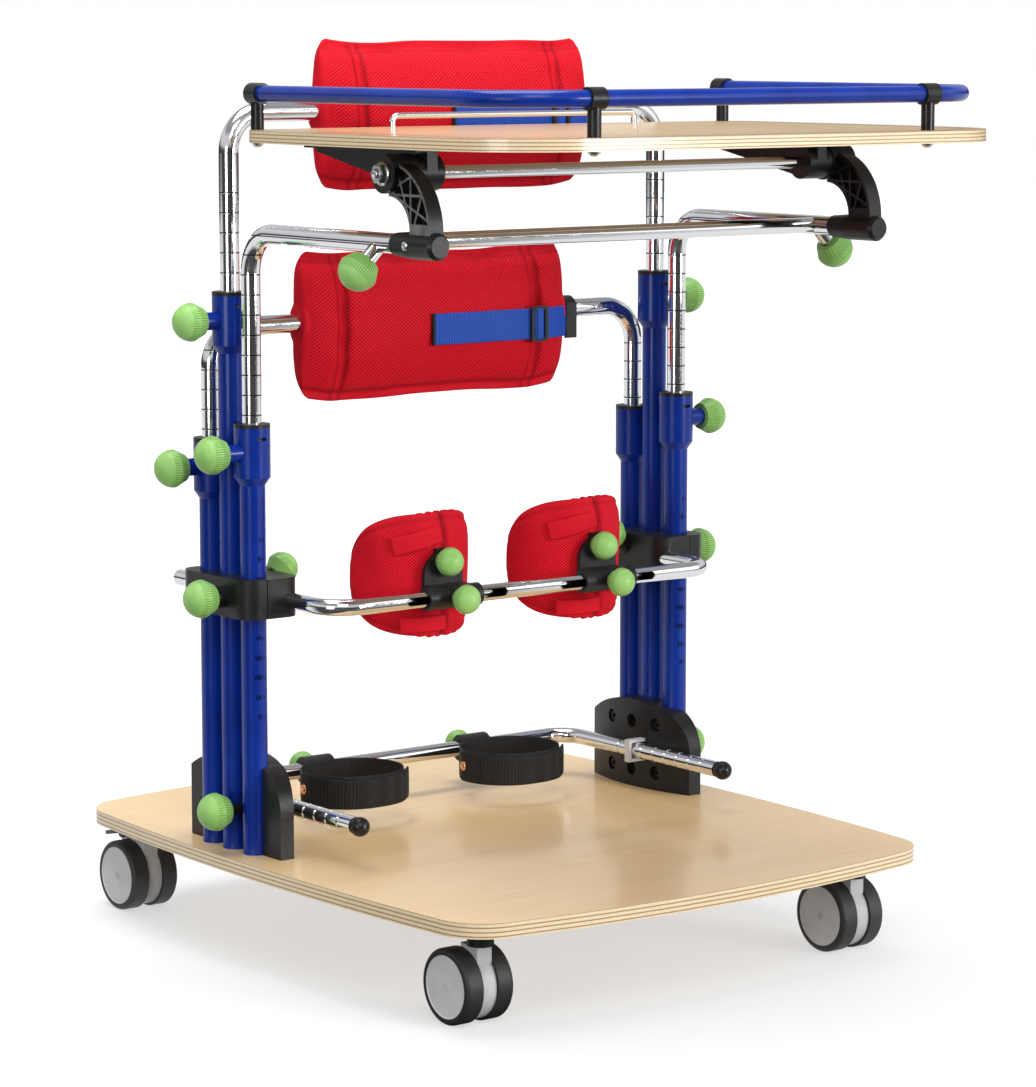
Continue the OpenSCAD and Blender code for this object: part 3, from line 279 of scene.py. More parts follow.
def birchFinish(name, cadNode):
    # face veneer with long grain along X, its colours scaled by the board's painted light scale: painted light
    # brightens the base board and painted shade darkens the tray board; on the edges the plies show as alternating
    # bands in z
    bottom, top = (float(c[2]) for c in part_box(cadNode))
    # the face colours times the board's painted light scale: painted light on the base board, painted shade on the tray
    dark, light, patch = (tuple(birch["paintedLightScale"][cadNode] * k for k in birch[key]) for key in ("dark", "light", "patch"))
    mat = finish(name, (0.74, 0.54, 0.30), 0.32, Coat_Weight=0.4, Coat_Roughness=0.12)
    long = noise(mat, spot(mat, birch["grain"]), 3.0, 5.0, 0.6)
    fine = noise(mat, spot(mat, birch["pores"]), 4.0, 3.0, 0.6)
    cloud = noise(mat, spot(mat, birch["patches"]), 7.0, 4.0)
    tone = maths(mat, "ADD", maths(mat, "MULTIPLY", long, 0.65), maths(mat, "MULTIPLY", fine, 0.35))
    face = blendColors(mat, ranged(mat, tone, 0.24, 0.76), dark, light)
    face = blendColors(mat, ranged(mat, cloud, 0.35, 0.75, 0.0, 0.35), face, patch)
    sway = maths(mat, "SUBTRACT", noise(mat, spot(mat), 14.0), 0.5)
    z = maths(mat, "MULTIPLY_ADD", sway, birch["wobble"], axes(mat)[2])
    layer = maths(mat, "FRACT", maths(mat, "MULTIPLY", ranged(mat, z, bottom, top), birch["plies"] / 2))
    band = ranged(mat, maths(mat, "ABSOLUTE", maths(mat, "SUBTRACT", layer, 0.5)), 0.10, 0.20)
    fibre = noise(mat, spot(mat, birch["fibres"]), 1.0, 2.0)
    edge = blendColors(mat, band, birch["crossPly"], birch["longPly"])
    edge = blendColors(mat, ranged(mat, fibre, 0.45, 0.8, 0.0, 0.35), edge, birch["fibre"])
    shaderLink(mat, blendColors(mat, facing(mat, 2, birch["flat"]), edge, face), "Base Color")
    shaderLink(mat, ranged(mat, tone, 0.3, 0.7, 0.40, 0.27), "Roughness")
    bumped(mat, fine, 0.0002, 0.35)
    return mat


paint = {"dark": (0.001, 0.018, 0.215), "light": (0.0025, 0.030, 0.29), "clouds": 18.0, "peel": 420.0, "specular": 0.25}


def blueFinish():
    # glossy powder coat: slight orange peel under a thin clear skin
    mat = finish("bluePaint", (0.003, 0.022, 0.26), 0.26, Specular_IOR_Level=paint["specular"], Coat_Weight=0.12,
                 Coat_Roughness=0.04)
    shaderLink(mat, cloudy(mat, paint["dark"], paint["light"], paint["clouds"], 3.0, (0.3, 0.7)), "Base Color")
    bumped(mat, noise(mat, spot(mat), paint["peel"], 2.0), 0.00012, 0.35)
    return mat


plating = {"color": (0.80, 0.81, 0.83), "line": (0.10, 0.10, 0.11), "haze": 60.0, "stretch": (1, 1, 0.2)}
rings = {"pitch": 0.02, "width": 0.0014, "outside": 0.262, "below": 0.80, "deep": 0.0004}


def chromeFinish(name, ringed):
    # bright plated tube with faint polish haze; a ringed one has a dark engraved line at every pitch of its uprights
    mat = finish(name, plating["color"], 0.07, 1.0)
    haze = noise(mat, spot(mat, plating["stretch"]), plating["haze"], 3.0)
    shaderLink(mat, ranged(mat, haze, 0.3, 0.75, 0.05, 0.13), "Roughness")
    if ringed:
        x, y, z = axes(mat)
        turn = maths(mat, "FRACT", maths(mat, "DIVIDE", z, rings["pitch"]))
        line = maths(mat, "LESS_THAN", turn, rings["width"] / rings["pitch"])
        upright = maths(mat, "GREATER_THAN", maths(mat, "ABSOLUTE", x), rings["outside"])
        line = maths(mat, "MULTIPLY", line, upright)
        line = maths(mat, "MULTIPLY", line, maths(mat, "LESS_THAN", z, rings["below"]))
        shaderLink(mat, blendColors(mat, line, plating["color"], plating["line"]), "Base Color")
        bumped(mat, maths(mat, "SUBTRACT", 1.0, line), rings["deep"], 0.6)
    return mat


moulded = {
    "clouds": 35.0, "span": (0.35, 0.7), "specular": 0.28,
    "black": ((0.009, 0.009, 0.0095), (0.017, 0.017, 0.018)), "gloss": ((0.008, 0.008, 0.009), (0.016, 0.016, 0.017)),
    "grey": ((0.50, 0.50, 0.50), (0.60, 0.60, 0.60)), "fork": ((0.50, 0.50, 0.50), (0.58, 0.58, 0.58)),
    "dark": ((0.05, 0.05, 0.055), (0.09, 0.09, 0.095)), "collar": (0.012, 0.012, 0.013), "collarFrom": 0.0785,
}


def mouldedFinish(name, colors, rough, grain=900.0, depth=0.00008):
    # spark-textured moulding: two tones and a roughness that drift with a soft noise, under a fine even grain
    mat = finish(name, colors[1], rough, Specular_IOR_Level=moulded["specular"])
    cloud = noise(mat, spot(mat), moulded["clouds"], 4.0, 0.6)
    shaderLink(mat, blendColors(mat, ranged(mat, cloud, *moulded["span"]), *colors), "Base Color")
    shaderLink(mat, ranged(mat, cloud, 0.3, 0.7, rough - 0.06, rough + 0.07), "Roughness")
    bumped(mat, noise(mat, spot(mat), grain, 2.0), depth, 0.6)
    return mat


def forkFinish():
    # grey moulding with a black ring from the collar's height up
    mat = mouldedFinish("forkGrey", moulded["fork"], 0.40)
    ring = maths(mat, "GREATER_THAN", axes(mat)[2], moulded["collarFrom"])
    grey = cloudy(mat, *moulded["fork"], moulded["clouds"], 4.0, moulded["span"])
    shaderLink(mat, blendColors(mat, ring, grey, moulded["collar"]), "Base Color")
    return mat


lattice = {
    "plane": 0.283, "within": 0.0004, "flat": 0.9, "highlightNoise": 130.0,
    # rib: the colour of the painted highlight on the outermost rib faces
    "web": (0.013, 0.013, 0.014), "rib": (0.20, 0.20, 0.21),
}


def latticeFinish():
    # moulded black whose outermost rib faces carry a painted pale highlight, broken up by noise
    mat = mouldedFinish("latticeBlack", moulded["black"], 0.36)
    x = maths(mat, "ABSOLUTE", axes(mat)[0])
    rib = maths(mat, "MULTIPLY", within(mat, x, lattice["plane"], lattice["within"]), facing(mat, 0, lattice["flat"]))
    # painted highlight on the outermost rib faces, its strength varied by noise
    ribHighlight = maths(mat, "MULTIPLY", rib, ranged(mat, noise(mat, spot(mat), lattice["highlightNoise"], 4.0), 0.25, 0.6, 0.25, 1.0))
    shaderLink(mat, blendColors(mat, ribHighlight, lattice["web"], lattice["rib"]), "Base Color")
    return mat


def brushedFinish(name, color, rough, metal, low, high, **sockets):
    # metal drawn along z: streaks change its roughness from low to high
    mat = finish(name, color, rough, metal, **sockets)
    streak = noise(mat, spot(mat, (1, 1, 12)), 90.0, 4.0)
    shaderLink(mat, ranged(mat, streak, 0.3, 0.7, low, high), "Roughness")
    bumped(mat, streak, 0.00003, 0.5)
    return mat


wheel = {
    "disc": 0.0308, "clouds": 40.0, "grain": 600.0,
    "grey": ((0.60, 0.59, 0.58), (0.68, 0.67, 0.66)), "rubber": ((0.012, 0.012, 0.013), (0.026, 0.026, 0.027)),
}


def wheelFinish(name, cadNode):
    # grey disc inside a ring round the axle, black tyre outside it
    lo, hi = corners(cadNode)
    mat = finish(name, (0.5, 0.49, 0.48), 0.42)
    x, y, z = axes(mat)
    dy = maths(mat, "SUBTRACT", y, (lo[1] + hi[1]) / 2)
    dz = maths(mat, "SUBTRACT", z, (lo[2] + hi[2]) / 2)
    r = maths(mat, "SQRT", maths(mat, "ADD", maths(mat, "MULTIPLY", dy, dy), maths(mat, "MULTIPLY", dz, dz)))
    tyre = maths(mat, "GREATER_THAN", r, wheel["disc"])
    disc, rubber = (cloudy(mat, *wheel[key], wheel["clouds"], 3.0, (0.3, 0.7)) for key in ("grey", "rubber"))
    shaderLink(mat, blendColors(mat, tyre, disc, rubber), "Base Color")
    shaderLink(mat, ranged(mat, tyre, 0.0, 1.0, 0.36, 0.55), "Roughness")
    bumped(mat, noise(mat, spot(mat), wheel["grain"]), 0.0001, 0.4)
    return mat


knob = {
    "lines": 48, "over": 0.4, "large": 0.0195, "middle": 0.017, "small": 0.015,
    # the second colour is the painted shade in the rib lines
    "green": ((0.275, 0.54, 0.14), (0.33, 0.61, 0.19)), "paintedShade": (0.105, 0.27, 0.045),
}


def knobFinish(cadNode, size, axis, centre):
    # green moulding; behind the dome and over its foot, one radius from the tip, lie fine lines of painted shade, in
    # each
    # groove and halfway between two: the angle round the axis, times the number of lines, has its cosine near 1 there
    mat = mouldedFinish("green_" + cadNode, knob["green"], 0.34, 700.0, 0.00006)
    axis, centre = np.array(axis, float), np.array(centre, float)
    first = np.array([1.0, 0.0, 0.0]) if abs(axis[1]) > 0.9 else np.array([0.0, 1.0, 0.0])
    fromCentre = vectorMaths(mat, "SUBTRACT", coords(mat), tuple(centre))
    ways = (axis, first, np.cross(axis, first))
    along, a, b = (vectorMaths(mat, "DOT_PRODUCT", fromCentre, tuple(way)) for way in ways)
    tip = float(((pointsOf(nodes[cadNode].data) - centre) @ axis).max())
    skirt = maths(mat, "LESS_THAN", maths(mat, "ABSOLUTE", along), tip - knob[size] * (1 - knob["over"]))
    groove = maths(mat, "COSINE", maths(mat, "MULTIPLY", maths(mat, "ARCTAN2", b, a), knob["lines"]))
    # painted shade of the ribs, strongest where the cosine is near 1
    dark = maths(mat, "MULTIPLY", skirt, ranged(mat, groove, 0.1, 0.8))
    green = cloudy(mat, *knob["green"], moulded["clouds"], 4.0, moulded["span"])
    shaderLink(mat, blendColors(mat, dark, green, knob["paintedShade"]), "Base Color")
    return mat


spacer = {
    "pitch": (0.0047, 0.0039), "holes": (0.22, 0.52), "thread": 0.0011, "clouds": 24.0, "specular": 0.10,
    # the hole colour and its strength are painted shade in the mesh holes
    "net": (0.78, 0.009, 0.024), "hole": (0.15, 0.0006, 0.005), "holeShade": 0.85, "deep": 0.0006,
    "cloth": ((0.60, 0.007, 0.019), (0.72, 0.011, 0.026)), "cloud": (0.58, 0.006, 0.018),
    # the crease colour and its strength are painted shade along creases and seams
    "crease": (0.20, 0.001, 0.006), "creaseShade": 0.75,
}


def redFinish():
    # spacer mesh: holes on a slanting lattice, from two crossed waves on UV, darkened as painted shade; plain woven red
    # where the plain mark is 1, and painted shade where the crease mark is
    mat = finish("redMesh", (0.70, 0.010, 0.026), 0.65, Specular_IOR_Level=spacer["specular"])
    u, v = axes(mat, "UV")[:2]
    plain, crease = (node(mat, "Attribute", attribute_name=key).outputs["Fac"] for key in ("plain", "crease"))

    def swing(value):
        return maths(mat, "MULTIPLY_ADD", maths(mat, "SINE", value), 0.5, 0.5)

    across, down = (maths(mat, "MULTIPLY", way, 2 * pi / pitch) for way, pitch in zip((u, v), spacer["pitch"]))
    one, other = (swing(maths(mat, op, across, down)) for op in ("ADD", "SUBTRACT"))
    hole = ranged(mat, maths(mat, "MULTIPLY", one, other), *spacer["holes"])
    weave = maths(mat, "MULTIPLY", *(swing(maths(mat, "MULTIPLY", way, 2 * pi / spacer["thread"])) for way in (u, v)))
    cloud = noise(mat, spot(mat), spacer["clouds"], 3.0)
    # the holes get painted shade
    net = blendColors(mat, maths(mat, "MULTIPLY", hole, spacer["holeShade"]), spacer["net"], spacer["hole"])
    color = blendColors(mat, plain, net, blendColors(mat, weave, *spacer["cloth"]))
    color = blendColors(mat, ranged(mat, cloud, 0.35, 0.75, 0.0, 0.22), color, spacer["cloud"])
    # painted shade along creases, seams and edge lines
    color = blendColors(mat, maths(mat, "MULTIPLY", crease, spacer["creaseShade"]), color, spacer["crease"])
    shaderLink(mat, color, "Base Color")
    height = maths(mat, "MULTIPLY", maths(mat, "SUBTRACT", 1.0, hole), maths(mat, "SUBTRACT", 1.0, plain))
    height = maths(mat, "ADD", height, maths(mat, "MULTIPLY", maths(mat, "MULTIPLY", weave, plain), 0.25))
    bumped(mat, height, spacer["deep"], 0.7)
    return mat


def webbingFinish(name, low, high, pitch):
    # woven tape: ribs across the length from a wave on UV, with a finer cross weave
    mat = finish(name, high, 0.55, Specular_IOR_Level=0.3)
    u, v = axes(mat, "UV")[:2]
    rib, fine = (maths(mat, "ABSOLUTE", maths(mat, "SINE", maths(mat, "MULTIPLY", way, pi / step)))
                 for way, step in ((u, pitch), (v, pitch * 0.45)))
    tone = maths(mat, "ADD", maths(mat, "MULTIPLY", rib, 0.7), maths(mat, "MULTIPLY", fine, 0.3))
    shaderLink(mat, blendColors(mat, tone, low, high), "Base Color")
    bumped(mat, tone, 0.0006, 0.7)
    return mat


birchBase = birchFinish("birchBase", "base_board")
birchTray = birchFinish("birchTray", "tray_board")
bluePaint = blueFinish()
chrome = chromeFinish("chromeTube", False)
ringedChrome = chromeFinish("ringedChrome", True)
blackPlastic = mouldedFinish("blackPlastic", moulded["black"], 0.36)
glossBlack = mouldedFinish("glossBlack", moulded["gloss"], 0.28, 500.0, 0.00004)
greyPlastic = mouldedFinish("greyPlastic", moulded["grey"], 0.40)
darkMetal = mouldedFinish("darkMetal", moulded["dark"], 0.38)
brightSteel = brushedFinish("brightSteel", (0.62, 0.63, 0.65), 0.24, 1.0, 0.18, 0.34)
blackScrew = brushedFinish("blackScrew", (0.02, 0.02, 0.022), 0.30, 0.6, 0.24, 0.40)
copper = brushedFinish("copperRivet", (0.70, 0.33, 0.17), 0.28, 1.0, 0.2, 0.36)
scaleInk = brushedFinish("scaleInk", (0.001, 0.0015, 0.004), 0.5, 0.0, 0.45, 0.6, Specular_IOR_Level=0.05)
redMesh = redFinish()
blueWebbing = webbingFinish("blueWebbing", (0.004, 0.035, 0.27), (0.012, 0.090, 0.54), 0.0034)
blackWebbing = webbingFinish("blackWebbing", (0.0025, 0.0025, 0.003), (0.009, 0.009, 0.010), 0.0019)
print("finishes made")


# finishes of the CAD nodes

finishOf = {
    "base_board": birchBase, "tray_board": birchTray,
    "tray_uprights": bluePaint, "dorsal_uprights": bluePaint, "pelvic_uprights": bluePaint, "tray_rail": bluePaint,
    "heel_bar": chrome, "knee_bar": chrome, "hinge_rod": chrome, "book_stop": chrome,
    "dorsal_arms": ringedChrome, "pelvic_arms": ringedChrome, "tray_frame": ringedChrome,
    "caster_plates": brightSteel, "bar_stirrups": greyPlastic, "block_screws": blackScrew,
    "guide_bushes": blackPlastic, "foot_blocks": blackPlastic, "heel_bar_caps": glossBlack,
    "knee_clamps": blackPlastic, "hinge_arms": latticeFinish(), "tray_brackets": blackPlastic,
    "dorsal_buckles": glossBlack, "pelvic_buckles": glossBlack, "rail_posts": glossBlack,
}
finishStart = {
    "caster_fork": forkFinish(), "brake_pedal": darkMetal,
    "strap_carrier": blackPlastic, "knee_bracket": blackPlastic, "foot_strap": blackWebbing,
}
# each knob's size, axis and a point on that axis; both knobs of a coaxial pair share a row
knobPlaces = {
    "tray_height_knobs": ("large", (1, 0, 0), (0, 0.0765, 0.523)),
    "dorsal_height_knobs": ("large", (1, 0, 0), (0, 0.114, 0.653)),
    "pelvic_height_knobs": ("large", (1, 0, 0), (0, 0.1515, 0.503)),
    "heel_bar_knobs": ("large", (1, 0, 0), (0, 0.09525, 0.158)),
    "knee_height_knobs": ("large", (1, 0, 0), (0, 0.09525, 0.377)),
}
trayTilt, kneeTilt = math.radians(45), math.radians(52)
for letter, s in (("l", -1), ("r", 1)):
    trayAxis = (s * math.sin(trayTilt), 0, -math.cos(trayTilt))
    kneeAxis = (-s * math.sin(kneeTilt), 0, math.cos(kneeTilt))
    knobPlaces["tray_depth_knob_" + letter] = ("large", trayAxis, (s * 0.275, -0.148, 0.742))
    knobPlaces["knee_depth_knob_" + letter] = ("middle", kneeAxis, (s * 0.246, 0.114, 0.373))
    knobPlaces["knee_turn_knob_" + letter] = ("small", (0, -1, 0), (s * 0.1, 0, 0.408))
    knobPlaces["knee_slide_knob_" + letter] = ("small", (0, -1, 0), (s * 0.1, -0.021, 0.373))
    knobPlaces["strap_knob_" + letter] = ("small", (0, 1, 0), (s * 0.104, 0.219, 0.158))
for name, place in knobPlaces.items():
    finishOf[name] = knobFinish(name, *place)
for name, obj in nodes.items():
    if name.startswith("caster_wheels"):
        finishOf[name] = wheelFinish("wheel" + name[-2:].upper(), name)
    byStart = (mat for start, mat in finishStart.items() if name.startswith(start))
    obj.data.materials.clear()
    obj.data.materials.append(finishOf.get(name, next(byStart, redMesh)))
print("CAD nodes finished")


# back pads

pad = {
    "front": 0.0252, "back": 0.018, "ahead": 0.030, "sheet": 0.0011, "flange": 0.0085, "wingEnd": 0.34, "bow": 0.12,
    "pull": 0.0014, "bulge": 0.003, "corner": (0.66, 0.0105), "lift": (0.009, 0.003),
    # the last key here sets the width of the painted shade line beside each seam
    "seamAt": 0.125, "seamBand": 0.011, "seamDip": 0.42, "seamWide": 0.0065, "seamShadeWide": 0.0016,
    "sleeve": 0.0135, "sleeveSpread": 0.020, "sleeveFrom": 0.10, "sleeveRise": 0.03,
    "edgeWave": 0.0009, "endWave": 0.0006, "lumps": 0.0009, "flap": 0.0022, "flapWide": 0.014,
    "seamPucker": 0.0011, "seamPuckerWide": 0.022, "edgePucker": 0.0010, "edgePuckerAt": 0.013, "edgePuckerWide": 0.010,
    # the last two keys here place and size the painted shade line just inside the flange
    "plainEdge": 0.0035, "plainEnd": 0.009, "edgeShadeAt": 0.002, "edgeShadeWide": 0.0018,
    "heldEdge": 0.003, "heldSeam": 0.004, "heldEnd": 0.014,
    "cells": (140, 60), "swell": 0.002, "pressure": 3.0, "frames": 16, "stretchStiff": 12, "bendStiff": 0.4,
}
armLift = 0.006   # the arms run this far above the pads' middle


def inflate(obj, held):
    # cloth with air inside: the held points stay, the rest move by no more than the swell
    before = pointsOf(obj.data)
    group = obj.vertex_groups.new(name="held")
    for i in np.nonzero(held)[0].tolist():
        group.add([i], 1.0, "REPLACE")
    cloth = obj.modifiers.new("cloth", "CLOTH")
    cloth.settings.use_pressure = True
    cloth.settings.uniform_pressure_force = pad["pressure"]
    cloth.settings.vertex_group_mass = "held"
    cloth.settings.tension_stiffness = cloth.settings.compression_stiffness = pad["stretchStiff"]
    cloth.settings.bending_stiffness = pad["bendStiff"]
    cloth.settings.effector_weights.gravity = 0
    cloth.point_cache.frame_end = pad["frames"]
    scene = bpy.context.scene
    for f in range(1, pad["frames"] + 1):
        scene.frame_set(f)
    after = pointsOf(obj.evaluated_get(bpy.context.evaluated_depsgraph_get()).data)
    obj.modifiers.remove(cloth)
    scene.frame_set(1)
    step = after - before
    size = np.linalg.norm(step, axis=1, keepdims=True)
    step *= np.minimum(1.0, pad["swell"] / np.maximum(size, 1e-9))
    obj.data.vertices.foreach_set("co", (before + step).reshape(-1))
    obj.data.update()


def backPad(name, cadNode, body, seed):
    # front and back sheets over a rectangle with bulging ends and rounded corners: each sheet's height is a crown
    # across the height times a crown along the width that falls away over the wings, dipped at the two seams, plus
    # a sleeve round the arm; the wings rise outwards, and slow waves unsettle edges, seams and faces
    lo, hi = corners(cadNode)
    rng = np.random.default_rng(seed)
    cx, cz = (lo[0] + hi[0]) / 2, (lo[2] + hi[2]) / 2
    halfWidth, halfHeight = (hi[0] - lo[0]) / 2, (hi[2] - lo[2]) / 2
    y0 = lo[1] + pad["ahead"]
    cols, rows = pad["cells"]
    u = np.linspace(-1, 1, cols)[:, None]
    v = np.linspace(-1, 1, rows)[None, :]
    phase = rng.uniform(0, 2 * pi, 8)
    wave = sum(np.sin(k * 3.1 * u + p) / k for k, p in zip((1, 2, 3, 4), phase))
    high = halfHeight - pad["pull"] * (1 - u ** 6) + pad["edgeWave"] * wave
    cornerFrom, cornerIn = pad["corner"]
    corner = np.clip((np.abs(v) - cornerFrom) / (1 - cornerFrom), 0, 1)
    wide = halfWidth - pad["bulge"] * np.abs(v) ** 2.4 + pad["endWave"] * np.sin(5 * v + phase[4])
    wide = wide - cornerIn * (1 - np.sqrt(1 - corner ** 2))
    x, z = u * wide, v * high + 0 * u
    edgeGap, endGap = high - np.abs(z), wide - np.abs(x)
    wingWide = halfWidth - pad["seamAt"]
    wing = np.clip((np.abs(x) - pad["seamAt"]) / wingWide, 0, 1) ** 1.5
    low, top = pad["lift"]
    z = z + wing * ((low + top) / 2 - (low - top) / 2 * v)
    inside = np.clip((edgeGap - pad["flange"]) / (high - pad["flange"]), 0, 1)
    crownHigh = (1 - (1 - inside) ** 2.2) ** 0.62
    ends = np.clip(endGap / wingWide, 0, 1)
    crownWide = pad["wingEnd"] + (1 - pad["wingEnd"]) * (1 - (1 - ends) ** 2) ** 0.75
    seamNear = np.abs(np.abs(x) - pad["seamAt"])
    dip = 1 - pad["seamDip"] * np.exp(-(seamNear / pad["seamWide"]) ** 2)
    bow = 1 - pad["bow"] * (1 - np.cos(x / halfWidth * pi / 2))
    shape = crownHigh * crownWide * dip * bow
    sleeve = pad["sleeve"] * np.exp(-((z - armLift) / pad["sleeveSpread"]) ** 4)
    sleeve = sleeve * np.clip((np.abs(x) - pad["sleeveFrom"]) / pad["sleeveRise"], 0, 1) * (crownHigh > 0)
    bySeam = np.exp(-(seamNear / pad["seamPuckerWide"]) ** 2)
    byEdge = np.exp(-((edgeGap - pad["edgePuckerAt"]) / pad["edgePuckerWide"]) ** 2)
    pucker = pad["seamPucker"] * np.sin(z * 190 + phase[5] + 3 * np.sin(x * 40)) * bySeam
    pucker += pad["edgePucker"] * np.sin(x * 150 + phase[6] + 2 * np.sin(x * 33)) * byEdge
    lumps = pad["lumps"] * np.sin(x * 31 + phase[7]) * np.sin(z * 44 + phase[3])
    flap = pad["flap"] * np.sin(x * 62 + phase[2]) * np.clip(1 - edgeGap / pad["flapWide"], 0, 1)
    front = np.maximum(pad["front"] * shape, sleeve) + (pucker + lumps) * crownHigh
    back = np.maximum(pad["back"] * shape, sleeve) - lumps * crownHigh
    a = np.stack([x, y0 + flap - pad["sheet"] - front, z], -1)
    b = np.stack([x, y0 + flap + pad["sheet"] + back, z], -1)
    loop = np.concatenate([a, b[:, ::-1]], 1) + np.array([cx, 0, cz])
    capFlat = loop.copy()
    capFlat[..., 1] = np.concatenate([y0 + flap] * 2, 1)
    loop = np.concatenate([capFlat[:1], loop, capFlat[-1:]])
    fromFlange, halfBand = edgeGap - pad["flange"], pad["seamBand"] / 2
    plain = (fromFlange < pad["plainEdge"]) | (seamNear < halfBand) | (endGap < pad["plainEnd"])
    # painted shade: a dark line beside each seam band, and a weaker one just inside the flange
    crease = np.exp(-((seamNear - halfBand) / pad["seamShadeWide"]) ** 2)
    crease += 0.7 * np.exp(-((fromFlange - pad["edgeShadeAt"]) / pad["edgeShadeWide"]) ** 2)
    held = (fromFlange < pad["heldEdge"]) | (seamNear < pad["heldSeam"]) | (endGap < pad["heldEnd"])

    def allRound(m):
        m = np.concatenate([m, m[:, ::-1]], 1).astype(float)
        return np.concatenate([m[:1], m, m[-1:]])

    obj = surface(name, loop, wrapCols=True, plain=allRound(plain), crease=allRound(np.clip(crease, 0, 1)))
    inflate(obj, allRound(held).reshape(-1) > 0.5)
    tidyMesh(obj)
    rounded(obj)
    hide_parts(cadNode)
    dressed(obj, redMesh, body)
    return obj


dorsalCushion = backPad("dorsalCushion", "dorsal_pad", "dorsal", 11)
pelvicCushion = backPad("pelvicCushion", "pelvic_pad", "pelvic", 23)
print("back pads made")


# knee cups

cup = {
    "rOut": 0.0705, "thick": 0.019, "sweep": 174.0, "endShare": 0.18, "cells": (104, 48), "finer": 1.35,
    "crease": 4.0, "creaseWide": 3.2, "creaseDeep": 0.0042, "binding": 0.006, "bindingDip": 0.0016,
    "topPlain": 0.013, "hemFrom": -28, "hemAt": 6, "hemWide": 26, "ripple": (0.0012, 0.0011, 0.0007),
    "wave": 0.0010, "swell": 0.0022, "swellAt": 20, "swellWide": 14, "endIn": 0.15,
}
# angles and heights of the two ends, then the width
cupTabs = {"Top": (-42, 0, 0.030, 0.0425, 0.0185), "Low": (-36, 4, -0.050, -0.0485, 0.0155)}
tabLies = {"thick": 0.003, "off": 0.0004, "arch": 0.0012}


def cupCentre(lo, hi):
    return (lo[0] + hi[0]) / 2, lo[1] + cup["rOut"], (lo[2] + hi[2]) / 2


def kneeCup(name, cadNode, body):
    # a padded shell carried round an arc: its section is a superellipse, lower towards the ends; an upright crease
    # divides the mesh lobe from a plain one, and the plain hem over the middle ripples
    lo, hi = corners(cadNode)
    cx, cy, cz = cupCentre(lo, hi)
    cols, rows = cup["cells"]
    k = np.linspace(-1, 1, cols)[:, None]
    a = np.linspace(0, 2 * pi, rows, endpoint=False)[None, :]
    turn = cup["sweep"] / 2 * k
    ang = np.radians(turn)
    half = (hi[2] - lo[2]) / 2 * (cup["endShare"] + (1 - cup["endShare"]) * np.sqrt(1 - np.abs(k) ** 3))
    still, slow, fast = cup["ripple"]
    middle = np.exp(-((turn - cup["hemAt"]) / cup["hemWide"]) ** 4)
    half = half + middle * (still + slow * np.sin(turn * 0.62) + fast * np.sin(turn * 1.3 + 1))
    way = np.sign(np.cos(a))
    outer = np.clip(np.cos(a) * 3, 0, 1)
    ends = (1 - np.abs(k) ** 14) ** 0.5
    lobe = 0.84 + 0.16 * np.cos(k * pi) ** 2
    dr = cup["thick"] / 2 * way * np.abs(np.cos(a)) ** 0.75 * (0.35 + 0.65 * ends) * lobe
    dz = half * np.sign(np.sin(a)) * np.abs(np.sin(a)) ** 0.42
    edgeGap = half - np.abs(dz)
    fold = np.exp(-((turn - cup["crease"]) / cup["creaseWide"]) ** 2) * outer
    r = cup["rOut"] - cup["thick"] / 2 + dr - cup["creaseDeep"] * fold
    r = r - cup["bindingDip"] * np.exp(-((edgeGap - cup["binding"] - 0.002) / 0.0025) ** 2) * way
    r = r + cup["wave"] * np.sin(7 * ang + 60 * dz)
    r = r + cup["swell"] * outer * np.exp(-((turn - cup["swellAt"]) / cup["swellWide"]) ** 2)
    pts = np.stack([cx + r * np.sin(ang), cy - r * np.cos(ang), cz + dz + 0 * ang], -1)
    heart = pts.mean(1, keepdims=True).repeat(rows, 1)
    flatEnds = pts * cup["endIn"] + heart * (1 - cup["endIn"])
    pts = np.concatenate([flatEnds[:1], pts, flatEnds[-1:]])
    turn = turn + 0 * a
    endGap = (1 - np.abs(k + 0 * a)) * np.radians(cup["sweep"] / 2) * cup["rOut"]
    hem = (edgeGap < cup["topPlain"]) & (turn > cup["hemFrom"])
    plain = (edgeGap < cup["binding"]) | (endGap < cup["binding"]) | (turn > cup["crease"] - 3) | hem
    # painted shade along the fold between the lobes and just inside the top and bottom binding
    crease = fold * 0.9 + 0.5 * np.exp(-((edgeGap - cup["binding"] - 0.001) / 0.0014) ** 2)

    def grown(m):
        return np.concatenate([m[:1], m, m[-1:]]).astype(float)

    obj = surface(name, pts, wrapCols=True, plain=grown(plain), crease=grown(np.clip(crease, 0, 1)))
    uv = np.empty(len(obj.data.loops) * 2)
    obj.data.uv_layers[0].data.foreach_get("uv", uv)
    obj.data.uv_layers[0].data.foreach_set("uv", uv * cup["finer"])
    tidyMesh(obj)
    fillEnds(obj)
    rounded(obj)
    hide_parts(cadNode)
    dressed(obj, redMesh, body)


def cupTab(name, cadNode, body, fromAngle, toAngle, fromLift, toLift, wide):
    # a flat loop of cloth that lies slanting round the cup
    cx, cy, cz = cupCentre(*corners(cadNode))
    k = np.linspace(0, 1, 40)
    ang = np.radians(fromAngle + (toAngle - fromAngle) * k)
    r = cup["rOut"] + tabLies["off"] + tabLies["arch"] * np.sin(k * pi)
    path = np.stack([cx + r * np.sin(ang), cy - r * np.cos(ang), cz + fromLift + (toLift - fromLift) * k], -1)
    obj = ribbon(name, path, wide, tabLies["thick"], (0, 0, 1), plain=1.0, crease=0.0)
    dressed(obj, redMesh, body)


